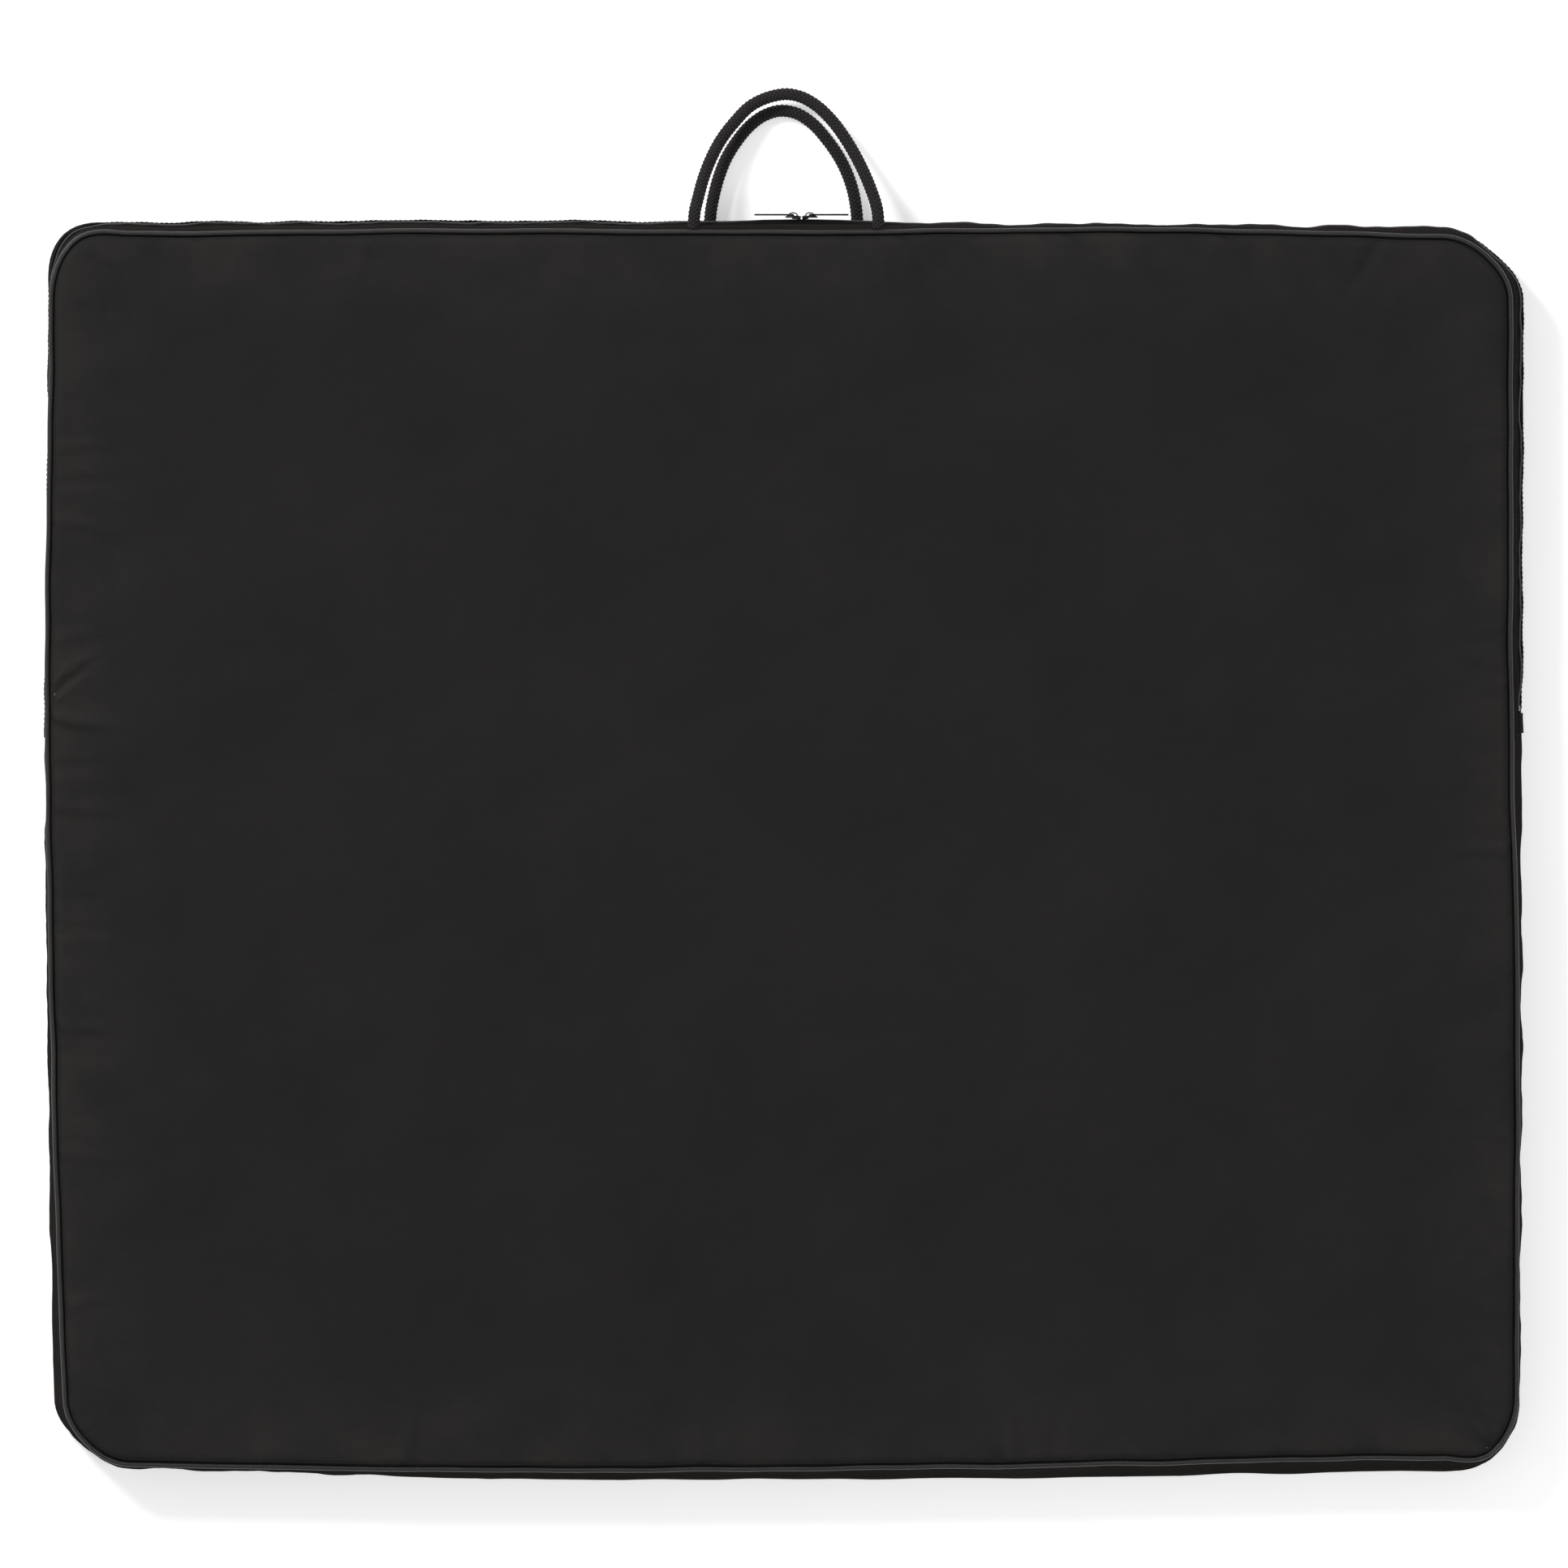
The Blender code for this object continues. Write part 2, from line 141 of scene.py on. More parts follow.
# Wrinkles that run in from the seams of the front panel: from x, y to x, y, width and height.
WRINKLES_MM = [
    (-530, 289, -478, 297, 7, 0.8), (-530, 268, -466, 261, 8, -0.8), (-530, 238, -476, 231, 8, 0.9),
    (-531, 151, -474, 162, 9, 0.8), (-531, 108, -496, 143, 5, -1.1), (-531, 120, -487, 152, 6, 1.0),
    (-531, 98, -464, 84, 10, 0.9), (-531, 62, -478, 58, 8, -0.8), (-531, 34, -472, 27, 9, 0.8),
    (-531, -27, -484, -31, 8, 0.7), (-530, -54, -474, -61, 8, -0.8), (-529, -124, -468, -132, 9, 0.9),
    (-529, -142, -484, -154, 8, -0.7), (-526, -218, -470, -226, 9, 0.8), (-522, -330, -480, -322, 9, 0.6),
    (524, 2, 466, -1, 8, 1.0), (524, 134, 476, 141, 9, 0.8), (524, 157, 480, 149, 8, -0.7),
    (528, -206, 486, -200, 9, 0.6), (522, 300, 486, 292, 9, 0.6),
    (-275, -444, -269, -392, 9, 0.8), (164, -442, 158, -398, 8, 0.8), (194, -442, 198, -392, 9, -0.8),
    (-60, -443, -66, -402, 9, 0.6), (360, -439, 352, -398, 9, 0.6), (512, -434, 474, -416, 8, -1.1),
    (502, -416, 486, -392, 9, 0.9), (77, 442, 112, 392, 10, 0.8), (135, 443, 160, 402, 9, -0.6),
    (200, 443, 242, 388, 11, 0.7), (311, 444, 348, 390, 11, 0.7), (428, 442, 396, 386, 10, -0.8),
    (-300, 445, -316, 402, 10, 0.6), (-430, 444, -410, 404, 9, 0.6), (-492, 420, -462, 388, 10, -0.8),
    (-190, 446, -181, 256, 3, 0.22),
]

# The rope handles. A route is x and the distance from the hinge, in the loop's own plane.
FRONT_ROUTE_MM = [
    (-66, 0), (-64, 8.5), (-60.6, 22), (-55.3, 37), (-47.4, 53), (-38, 66), (-25, 79.5),
    (-10, 86.3), (0, 87.8), (11, 85.5), (21, 79.6), (32, 68.8), (42.5, 54), (52.4, 36),
    (60.3, 17.5), (65.5, 0),
]
REAR_ROUTE_MM = [
    (-54.5, 0), (-52.2, 12), (-48.6, 25), (-43.4, 38), (-36, 50), (-26.8, 61), (-16.2, 68.8),
    (-5, 72.2), (7, 70.4), (17.5, 64), (29, 51.5), (40.5, 34), (47.8, 15), (50.5, 0),
]
HANDLE_AXIS_Y = 0.4622
FRONT_HANDLE_Z = (0.0410, 0.0155)
REAR_HANDLE_Z = (0.0090, 0.0049)
ROPE_CARRIERS = 6
ROPE_LAY = 0.0176

# Sliders and pull tabs.
SLIDER_XS = {"left": 0.0048, "right": 0.0168}
TAB_PIVOT_Y = 0.4590

SLIDER_PLATE = 0.0012
SLIDER_OUTER_Y = 0.4568
TAB_BAR = 0.0012
TAB_WINDOW = 0.0052
TAB_RAIL = 0.0010

# How finely things are made.
COVER_DEPTHS = [0.0, 0.0007, 0.0016, 0.0028, 0.0044, 0.0066, 0.0095, 0.0135, 0.0185]
COVER_SPACING = 0.0052
FINE_RIM = 0.050
FILLING_DEPTHS = [0.0, 0.006]
FILLING_SPACING = 0.015
FOLD_SPACING = 0.0028
STITCH_PROFILE = [(-0.5, -0.9, 0.4), (-0.36, 0.1, 0.9), (0.0, 0.55, 1.0), (0.36, 0.1, 0.9), (0.5, -0.9, 0.4)]
STITCH_SIDES = 5
COIL_STEPS = 8
COIL_SIDES = 5
COIL_MESH = 0.0003
ROPE_POINTS = 500
ROPE_ROOT = 0.0165
ROPE_CORE = 0.0029
YARN_DISTANCE = 0.0034
YARN_WEAVE = 0.00058
YARN_WIDTH = 0.00108
YARN_FLATNESS = 0.62
YARN_SIDES = 8

# The cover's cloth simulation: its mesh, how much too large the cloth is, and how far it may move.
CLOTH_SPACING = 0.0068
CLOTH_FRAMES = 16
CLOTH_QUALITY = 5
CLOTH_SLACK = 0.035
CLOTH_REACH = 0.055
CLOTH_GAP = 0.0004
CLOTH_LIMIT = 0.0025
CLOTH_MASS = 0.2
CLOTH_DAMPING = 4.0
CLOTH_STIFFNESS = 25.0
CLOTH_SHEAR = 8.0
CLOTH_BENDING = 0.8
SLACK_EVERYWHERE = 0.10
SLACK_AT_EDGE = 0.25
START_FOLDS = 0.6
BED_INSET = 0.004
BED_SPACING = 0.05
BED_DEPTH = 0.02

# Where the gusset's strips end beside the zip, and how far the front one laps over the band.
GUSSET_REAR_EDGE = 0.0141
GUSSET_FRONT_EDGE = 0.0395
LAP = 0.020
LAP_LIFT = 0.0010
LIFT_REACH = 0.0050

# The studio.
HORIZON_LIGHT = 0.26
ZENITH_LIGHT = 0.50
FLOOR_GLOW = 0.42
FLOOR_REACH = 8.0
LIGHTS = [("key", (-3.0, 3.2, 3.9), 1.5, 235.0), ("fill", (2.6, -1.4, 3.8), 2.4, 44.0)]


def rng(seed):
    return np.random.default_rng(seed)


# ---------------------------------------------------------------- the outline

def outline_frame(s):
    """Place and outward direction at distances s along the outline, each as (n, 2)."""
    s = np.mod(np.asarray(s, float), PERIMETER)
    stretch = np.searchsorted(STARTS, s, side="right") - 1
    along = s - STARTS[stretch]
    quarter, bend = stretch // 2, stretch % 2
    angle = quarter * math.pi / 2 + np.where(bend, along / CORNER_RADIUS, 0.0)
    outward = np.stack([np.cos(angle), np.sin(angle)], -1)
    forward = np.stack([-np.sin(angle), np.cos(angle)], -1)
    straight = np.where(bend, 0.0, along)[:, None]
    return CENTRES[(quarter + bend) % 4] + CORNER_RADIUS * outward + straight * forward, outward


def smooth_ring(rows):
    """A smooth function of s through values given in millimetres at even steps along each stretch.

    It never goes past the values on either side of it.
    """
    knots = np.array([a + b * i / len(row)
                      for a, b, row in zip(STARTS, LENGTHS, rows) for i in range(len(row))])
    values = np.array([value * MM for row in rows for value in row])
    knots = np.concatenate([[knots[-1] - PERIMETER], knots, knots[:2] + PERIMETER])
    values = np.concatenate([values[-1:], values, values[:2]])
    rises = np.diff(values) / np.diff(knots)
    products, sums = rises[:-1] * rises[1:], rises[:-1] + rises[1:]
    slopes = np.zeros(len(knots))
    slopes[1:-1] = np.where(products > 0, 2 * products / np.where(sums == 0, 1.0, sums), 0.0)

    def value_at(s):
        s = np.mod(np.asarray(s, float), PERIMETER)
        i = np.clip(np.searchsorted(knots, s, side="right") - 1, 0, len(knots) - 2)
        step = knots[i + 1] - knots[i]
        t = (s - knots[i]) / step
        ease = t * t * (3 - 2 * t)
        bend = step * (slopes[i] * t * (1 - t) ** 2 - slopes[i + 1] * t * t * (1 - t))
        return values[i] * (1 - ease) + values[i + 1] * ease + bend

    return value_at


def ripple(s, seed, shortest, longest, height, count=9):
    """A seamless, irregular wave round the outline, from wavelengths between two lengths."""
    draw = rng(seed)
    total = np.zeros_like(np.asarray(s, float))
    for _ in range(count):
        turns = round(PERIMETER / draw.uniform(shortest, longest))
        total += draw.uniform(0.4, 1.0) * np.sin(TURN * (turns * s / PERIMETER + draw.random()))
    return total * height / math.sqrt(count / 2)


def locate(points):
    """Distance along the outline, and depth inside it, of points (n, 2)."""
    x, y = points[:, 0], points[:, 1]
    over_x, over_y = np.abs(x) - FLAT_X, np.abs(y) - FLAT_Y
    bend = (over_x > 0) & (over_y > 0)
    upright = over_x > over_y
    depth = np.where(bend, CORNER_RADIUS - np.hypot(over_x, over_y),
                     CORNER_RADIUS - np.maximum(over_x, over_y))
    quarter = np.where(upright, np.where(x > 0, 0, 2), np.where(y > 0, 1, 3))
    along = np.choose(quarter, [y + FLAT_Y, FLAT_X - x, FLAT_Y - y, x + FLAT_X])
    turned = np.mod(np.arctan2(np.sign(y) * over_y, np.sign(x) * over_x), TURN)
    corner = np.clip((turned // (math.pi / 2)).astype(int), 0, 3)
    on_bend = STARTS[2 * corner + 1] + (turned - corner * math.pi / 2) * CORNER_RADIUS
    limit = LENGTHS[2 * quarter]
    return np.where(bend, on_bend, STARTS[2 * quarter] + np.clip(along, 0, limit)), depth


front_table = smooth_ring(FRONT_INSETS_MM)
back_table = smooth_ring(BACK_INSETS_MM)


def front_inset(s):
    """The middle of the front welt."""
    return front_table(s) + ripple(s, 3, 0.05, 0.16, 0.00035)


def back_inset(s):
    """The middle of the back welt."""
    return back_table(s) + WELT_RADIUS + ripple(s, 4, 0.05, 0.16, 0.00035)


def gusset_inset(s, z):
    """The gusset's outer face at height z: from welt to welt, past the zip's line in between."""
    front = front_inset(s) - 0.7 * WELT_RADIUS
    back = back_inset(s) - 0.7 * WELT_RADIUS
    place, outward = outline_frame(s)
    near_slider = np.exp(-(((place[:, 0] - SLIDER_MIDDLE_X) / SLIDER_PULL) ** 2)) * (place[:, 1] > 0)
    straightness = np.max(np.abs(outward), axis=1) ** 8
    beside_zip = 1 / (1 + np.exp(-(place[:, 1] - 0.06) / 0.02))
    hold = beside_zip * straightness * (0.5 + 0.5 * near_slider)
    middle = (front + back) / 2 - 0.0010
    middle = middle + hold * (ZIP_INSET - COIL_OFFSET - middle)
    t = (z - BACK_WELT_Z) / (FRONT_WELT_Z - BACK_WELT_Z)
    low, peak, high = 2 * (t - 0.5) * (t - 1), 4 * t * (1 - t), 2 * t * (t - 0.5)
    folds = ripple(s, 5, 0.03, 0.12, 0.0006) * peak * (1 - near_slider)
    lean = ripple(s + 0.7 * z, 6, 0.018, 0.06, 0.00035) * peak * (1 - near_slider)
    wander = ripple(s, 7, 0.10, 0.40, 1.6)
    creases = CREASE_HEIGHT * np.sin(TURN * z / CREASE_WIDTH + wander) * peak * (1 - beside_zip)
    return back * low + middle * peak + front * high + folds + lean + creases


def at_inset(s, inset, z):
    """Points (n, 3) at distances s along the outline, moved inwards, at height z."""
    place, outward = outline_frame(s)
    flat = place - outward * np.broadcast_to(inset, np.shape(s))[:, None]
    return np.column_stack([flat, np.broadcast_to(z, np.shape(s))])


def stations(low, high, step, fine=None):
    """Distances from low to high, closer together where the outline crosses the fold."""
    fine = fine or step
    found, s = [], low
    while s < high - 0.3 * fine:
        found.append(s)
        y = outline_frame([s])[0][0, 1]
        s += fine if abs(y - FOLD_Y) < 2 * FOLD_REACH else step
    return np.array(found)


RIGHT_FOLD = FOLD_Y + FLAT_Y
LEFT_FOLD = STARTS[4] + FLAT_Y - FOLD_Y
RING = stations(0.0, PERIMETER, 0.0045, 0.0024)


# ---------------------------------------------------------------- mesh building

class Shape:
    """The points, faces and cloth coordinates of a piece while it is being made."""

    def __init__(self):
        self.verts, self.faces, self.uvs, self.count = [], [], [], 0

    def add(self, verts, *parts):
        """Points (n, 3), then pairs of faces (m, k) and their cloth coordinates (m, k, 2) or None."""
        verts = np.asarray(verts, float).reshape(-1, 3)
        for faces, uvs in parts:
            faces = np.asarray(faces, int)
            self.faces.append(faces + self.count)
            self.uvs.append(verts[faces][..., :2] if uvs is None else np.asarray(uvs, float))
        self.verts.append(verts)
        self.count += len(verts)
        return self

    def piece(self, name, material, sharp_angle=50):
        verts = np.concatenate(self.verts).astype(np.float32)
        sizes = np.concatenate([np.full(len(faces), faces.shape[1]) for faces in self.faces])
        corners = np.concatenate([faces.ravel() for faces in self.faces]).astype(np.int32)
        starts = np.concatenate([[0], np.cumsum(sizes)[:-1]]).astype(np.int32)
        uvs = np.concatenate([uvs.reshape(-1, 2) for uvs in self.uvs]).astype(np.float32)
        data = bpy.data.meshes.new(name)
        data.vertices.add(len(verts))
        data.vertices.foreach_set("co", verts.ravel())
        data.loops.add(len(corners))
        data.loops.foreach_set("vertex_index", corners)
        data.polygons.add(len(sizes))
        data.polygons.foreach_set("loop_start", starts)
        data.update(calc_edges=True)
        data.uv_layers.new(name="cloth").data.foreach_set("uv", uvs.ravel())
        data.validate()
        mesh = bmesh.new()
        mesh.from_mesh(data)
        bmesh.ops.recalc_face_normals(mesh, faces=mesh.faces)
        mesh.to_mesh(data)
        mesh.free()
        data.shade_smooth()
        data.set_sharp_from_angle(angle=math.radians(sharp_angle))
        data.materials.append(material)
        made = bpy.data.objects.new(name, data)
        bpy.context.scene.collection.objects.link(made)
        return made


def unit(vectors):
    return vectors / np.linalg.norm(vectors, axis=-1, keepdims=True)


def running_length(path):
    return np.concatenate([[0.0], np.cumsum(np.linalg.norm(np.diff(path, axis=0), axis=1))])


def grid_steps(rows, columns, closed_rows=False, closed_columns=False):
    """Grid steps (n, 4, 2) at the corners of a grid's quads."""
    i = np.arange(rows if closed_rows else rows - 1)
    j = np.arange(columns if closed_columns else columns - 1)
    i, j = (a.ravel() for a in np.meshgrid(i, j, indexing="ij"))
    corners = [(i, j), (i + 1, j), (i + 1, j + 1), (i, j + 1)]
    return np.stack([np.stack(corner, -1) for corner in corners], 1)


def sweep(shape, path, side, up, sizes, sides, closed=False, flat=1.0):
    """Adds a tube: rings about a path, spanned by side and up, whose size may vary point by point.

    flat scales the rings along up, so that a thread can lie flatter than it is wide.
    """
    angles = TURN * np.arange(sides) / sides
    sizes = np.broadcast_to(np.asarray(sizes, float), (len(path), sides))[..., None]
    across = np.cos(angles)[None, :, None] * side[:, None]
    around = across + flat * np.sin(angles)[None, :, None] * up[:, None]
    verts = path[:, None] + sizes * around
    steps = grid_steps(len(path), sides, closed, True)
    faces = (steps[..., 0] % len(path)) * sides + steps[..., 1] % sides
    loop = np.vstack([path, path[:1]]) if closed else path
    along = running_length(loop)
    across = float(sizes.mean()) * TURN * np.arange(sides + 1) / sides
    uvs = np.stack([along[steps[..., 0]], across[steps[..., 1]]], -1)
    parts = [(faces, uvs)]
    if not closed:
        last = (len(path) - 1) * sides
        ends = np.array([np.arange(sides)[::-1], np.arange(last, last + sides)])
        parts.append((ends, np.zeros((2, sides, 2))))
    return shape.add(verts, *parts)


def tube(name, path, sizes, material, sides=12, closed=False):
    """A round tube along a path that is never upright."""
    ends = (path[-1:], path[:1]) if closed else (2 * path[:1] - path[1:2], 2 * path[-1:] - path[-2:-1])
    forward = np.vstack([path[1:], ends[1]]) - np.vstack([ends[0], path[:-1]])
    side = unit(np.cross(forward, (0, 0, 1)))
    up = unit(np.cross(side, forward))
    return sweep(Shape(), path, side, up, sizes, sides, closed).piece(name, material)


def strip(name, outer, inner, material, closed=False):
    """A thin closed strip of fabric between two grids of points, (along, across, 3)."""
    rows, columns = outer.shape[:2]
    total = rows * columns
    loop = np.concatenate([outer, outer[:1]]) if closed else outer
    along = np.concatenate([[0.0], np.cumsum(np.linalg.norm(np.diff(loop, axis=0), axis=-1).mean(1))])
    across = np.concatenate([[0.0], np.cumsum(np.linalg.norm(np.diff(outer, axis=1), axis=-1).mean(0))])
    steps = grid_steps(rows, columns, closed)
    face = (steps[..., 0] % rows) * columns + steps[..., 1]
    uvs = np.stack([along[steps[..., 0]], across[steps[..., 1]]], -1)
    parts = [(face, uvs), (face[:, ::-1] + total, uvs[:, ::-1])]
    i = np.arange(rows if closed else rows - 1)
    j = np.arange(columns - 1)
    edges = [((i + 1) % rows * columns, i * columns, i, 0 * i),
             (i * columns + columns - 1, (i + 1) % rows * columns + columns - 1, i, 0 * i + columns - 1)]
    if not closed:
        end = (rows - 1) * columns
        edges += [(j, j + 1, 0 * j, j), (end + j + 1, end + j, 0 * j + rows - 1, j)]
    for a, b, at_row, at_column in edges:
        rim = np.stack([along[at_row], across[at_column]], -1)[:, None].repeat(4, 1)
        parts.append((np.stack([a, b, b + total, a + total], 1), rim))
    verts = np.concatenate([outer.reshape(-1, 3), inner.reshape(-1, 3)])
    return Shape().add(verts, *parts).piece(name, material)


def stitches(name, path, up, material, pitch=0.0036, length=0.0026, radius=0.00026):
    """A row of short sewn threads along a path, whose ends dip into the fabric. up is (n, 3)."""
    along = running_length(path)
    middles = np.arange(pitch, along[-1] - pitch, pitch)
    profile = np.array(STITCH_PROFILE)
    at = middles[:, None] + profile[None, :, 0] * length
    centre = np.stack([np.interp(at, along, path[:, k]) for k in range(3)], -1)
    normal = unit(np.stack([np.interp(middles, along, up[:, k]) for k in range(3)], -1))
    side = np.cross(unit(centre[:, -1] - centre[:, 0]), normal)
    centre = centre + normal[:, None] * (profile[None, :, 1, None] * radius)
    shape = Shape()
    for line, across, lift in zip(centre, side, normal):
        rings = len(profile)
        sweep(shape, line, np.tile(across, (rings, 1)), np.tile(lift, (rings, 1)),
              profile[:, 2, None] * radius, STITCH_SIDES)
    return shape.piece(name, material)


def halved(values):
    """Values with one more between each pair, and which of them were there before."""
    finer = np.interp(np.arange(2 * len(values) - 1) / 2, np.arange(len(values)), values)
    return finer, np.arange(len(finer)) % 2 == 0


def panel_points(edge, depths, spacing, fold_spacing=FOLD_SPACING, fine_rim=0.0):
    """Flat points and triangles of a panel: rings at depths inside its edge, then a plain grid.

    The grid is twice as fine as its spacing in a rim of the width fine_rim.
    """
    rings = [at_inset(RING, edge(RING) + depth, 0.0)[:, :2] for depth in depths]
    low, high = rings[-1].min(0), rings[-1].max(0)
    xs = np.arange(low[0], high[0], spacing)
    fine = min(spacing, fold_spacing)
    near_fold = np.arange(FOLD_Y - 2 * FOLD_REACH, FOLD_Y + 2 * FOLD_REACH, fine)
    ys = np.concatenate([np.arange(near_fold[0] - spacing, low[1], -spacing), near_fold,
                         np.arange(near_fold[-1] + spacing, high[1], spacing)])
    (xs, plain_x), (ys, plain_y) = halved(xs), halved(np.sort(ys))
    grid = np.stack(np.meshgrid(xs, ys), -1).reshape(-1, 2)
    plain = (plain_y[:, None] & plain_x[None, :]).ravel()
    s, depth = locate(grid)
    depth -= edge(s) + depths[-1]
    grid = grid[np.where(plain, depth > 0.55 * spacing, (depth > 0.3 * spacing) & (depth < fine_rim))]
    count = len(RING)
    bounds = [(i, (i + 1) % count) for i in range(count)]
    points = [Vector(p) for p in np.concatenate([*rings, grid])]
    made = delaunay_2d_cdt(points, bounds, [], 1, 1e-7)
    flat = np.array([tuple(p) for p in made[0]])
    triangles = np.array(made[2])
    a, b, c = (flat[triangles[:, k]] for k in range(3))
    turned = np.cross(b - a, c - a) < 0
    triangles[turned] = triangles[turned][:, ::-1]
    return flat, triangles


def slab(name, flat, triangles, top, bottom, material):
    """A closed layer of a panel between two heights. Its first points are its edge, in order."""
    total, count = len(flat), len(RING)
    top, bottom = (np.broadcast_to(z, total) for z in (top, bottom))
    verts = np.concatenate([np.column_stack([flat, top]), np.column_stack([flat, bottom])])
    i = np.arange(count)
    j = (i + 1) % count
    rim = np.stack([j, i, i + total, j + total], 1)
    shape = Shape().add(verts, (triangles, None), (triangles[:, ::-1] + total, None), (rim, None))
    return shape.piece(name, material)


# ---------------------------------------------------------------- materials

class Nodes:
    """Adds nodes to a new material. Every method returns the socket that it makes."""

    def __init__(self, name):
        self.material = bpy.data.materials.new(name)
        self.material.use_nodes = True
        self.tree = self.material.node_tree
        self.shader = self.tree.nodes["Principled BSDF"]

    def add(self, kind, output, inputs, **settings):
        node = self.tree.nodes.new(kind)
        for key, value in settings.items():
            setattr(node, key, value)
        for key, value in inputs.items():
            self.feed(node.inputs[key], value)
        return node.outputs[output]

    def feed(self, target, value):
        if isinstance(value, bpy.types.NodeSocket):
            self.tree.links.new(value, target)
        else:
            target.default_value = value

    def cloth(self):
        return self.add("ShaderNodeUVMap", "UV", {}, uv_map="cloth")

    def math(self, operation, *values, clamp=False):
        return self.add("ShaderNodeMath", 0, dict(enumerate(values)), operation=operation, use_clamp=clamp)

    def scaled(self, vector, size):
        """The vector times a number, or times a number for each axis."""
        if isinstance(size, (int, float)):
            size = (size,) * 3
        return self.add("ShaderNodeVectorMath", 0, {0: vector, 1: size}, operation="MULTIPLY")

    def noise(self, vector, scale, detail=3.0, roughness=0.55):
        inputs = {"Vector": vector, "Scale": scale, "Detail": detail, "Roughness": roughness}
        return self.add("ShaderNodeTexNoise", "Fac", inputs)

    def spread(self, value, low, high, to_low, to_high):
        """The value's range from low to high, stretched to another range."""
        inputs = {"Value": value, "From Min": low, "From Max": high, "To Min": to_low, "To Max": to_high}
        return self.add("ShaderNodeMapRange", 0, inputs)

    def mix(self, share, first, second):
        inputs = {0: share, 6: (*first, 1.0) if isinstance(first, tuple) else first,
                  7: (*second, 1.0) if isinstance(second, tuple) else second}
        return self.add("ShaderNodeMix", 2, inputs, data_type="RGBA")

    def bump(self, height, distance, strength=1.0, under=None):
        inputs = {"Height": height, "Distance": distance, "Strength": strength}
        if under is not None:
            inputs["Normal"] = under
        return self.add("ShaderNodeBump", 0, inputs)

    def finish(self, **inputs):
        for key, value in inputs.items():
            self.feed(self.shader.inputs[key.replace("_", " ")], value)
        return self.material


def weave(nodes, vector, thread):
    """The height of a plain weave, 0 to 1, and which way the upper thread runs."""
    placed = nodes.scaled(vector, math.pi / thread)
    axes = nodes.tree.nodes.new("ShaderNodeSeparateXYZ")
    nodes.feed(axes.inputs[0], placed)
    waves = [nodes.math("SINE", axes.outputs[i]) for i in (0, 1)]
    warp, weft = (nodes.math("ABSOLUTE", wave) for wave in waves)
    over = nodes.math("MULTIPLY_ADD", nodes.math("MULTIPLY", *waves), 2.5, 0.5, clamp=True)
    upper = nodes.math("MULTIPLY", nodes.math("SUBTRACT", warp, weft), over)
    return nodes.math("ADD", weft, upper), over


def fabric(name, dark, light, thread, relief, roughness, sheen, gloss, rim=None):
    """Woven cloth with uneven threads, soft patches, slubs along the weft, painted shade in the weave's
    hollows, and paler, warmer blotches in a band along the outline.
    """
    nodes = Nodes(name)
    cloth = nodes.cloth()
    waver = nodes.add("ShaderNodeTexNoise", "Color", {"Vector": cloth, "Scale": 45.0})
    drift = nodes.scaled(waver, 0.35 * thread)
    moved = nodes.add("ShaderNodeVectorMath", 0, {0: cloth, 1: drift}, operation="ADD")
    height, over = weave(nodes, moved, thread)
    patches = nodes.noise(cloth, 7.0, 5.0, 0.62)
    slubs = nodes.noise(nodes.scaled(cloth, (30.0, 900.0, 1.0)), 1.0, 2.0)
    wear = nodes.noise(cloth, 38.0, 4.0, 0.6)
    tone = nodes.spread(patches, 0.3, 0.7, 0.30, 0.70)
    tone = nodes.math("MULTIPLY_ADD", nodes.math("SUBTRACT", slubs, 0.5), 0.45, tone)
    tone = nodes.math("MULTIPLY_ADD", nodes.math("SUBTRACT", wear, 0.5), 0.30, tone)
    # Painted shade and highlight: the colour darkens in the weave's hollows between threads and pales on the
    # threads' tops.
    tone = nodes.math("MULTIPLY", tone, nodes.spread(height, 0.0, 1.0, 0.55, 1.25), clamp=True)
    rough = nodes.math("ADD", nodes.spread(patches, 0.3, 0.7, roughness + 0.05, roughness - 0.05),
                       nodes.math("MULTIPLY", over, 0.04))
    crumple = nodes.bump(nodes.noise(cloth, 90.0, 4.0), 0.0006, 0.5)
    normal = nodes.bump(nodes.math("MULTIPLY_ADD", slubs, 0.3, height), relief, 0.8, crumple)
    colour = nodes.mix(tone, dark, light)
    # Paler, warmer blotches in a band along the outline, fading out over RIM_REACH.
    if rim:
        axes = nodes.tree.nodes.new("ShaderNodeSeparateXYZ")
        nodes.feed(axes.inputs[0], cloth)
        sides = [nodes.math("SUBTRACT", half, nodes.math("ABSOLUTE", axes.outputs[k]))
                 for k, half in enumerate((HALF_WIDTH, HALF_HEIGHT))]
        share = nodes.spread(nodes.math("MINIMUM", *sides), 0.0, RIM_REACH, 1.0, 0.0)
        blotches = nodes.spread(nodes.noise(cloth, 16.0, 5.0, 0.65), 0.38, 0.60, 0.1, 1.0)
        colour = nodes.mix(nodes.math("MULTIPLY", nodes.math("MULTIPLY", share, blotches), tone), colour, rim)
    return nodes.finish(Base_Color=colour, Roughness=rough, Normal=normal,
                        Sheen_Weight=sheen, Sheen_Roughness=0.45, Specular_IOR_Level=gloss)


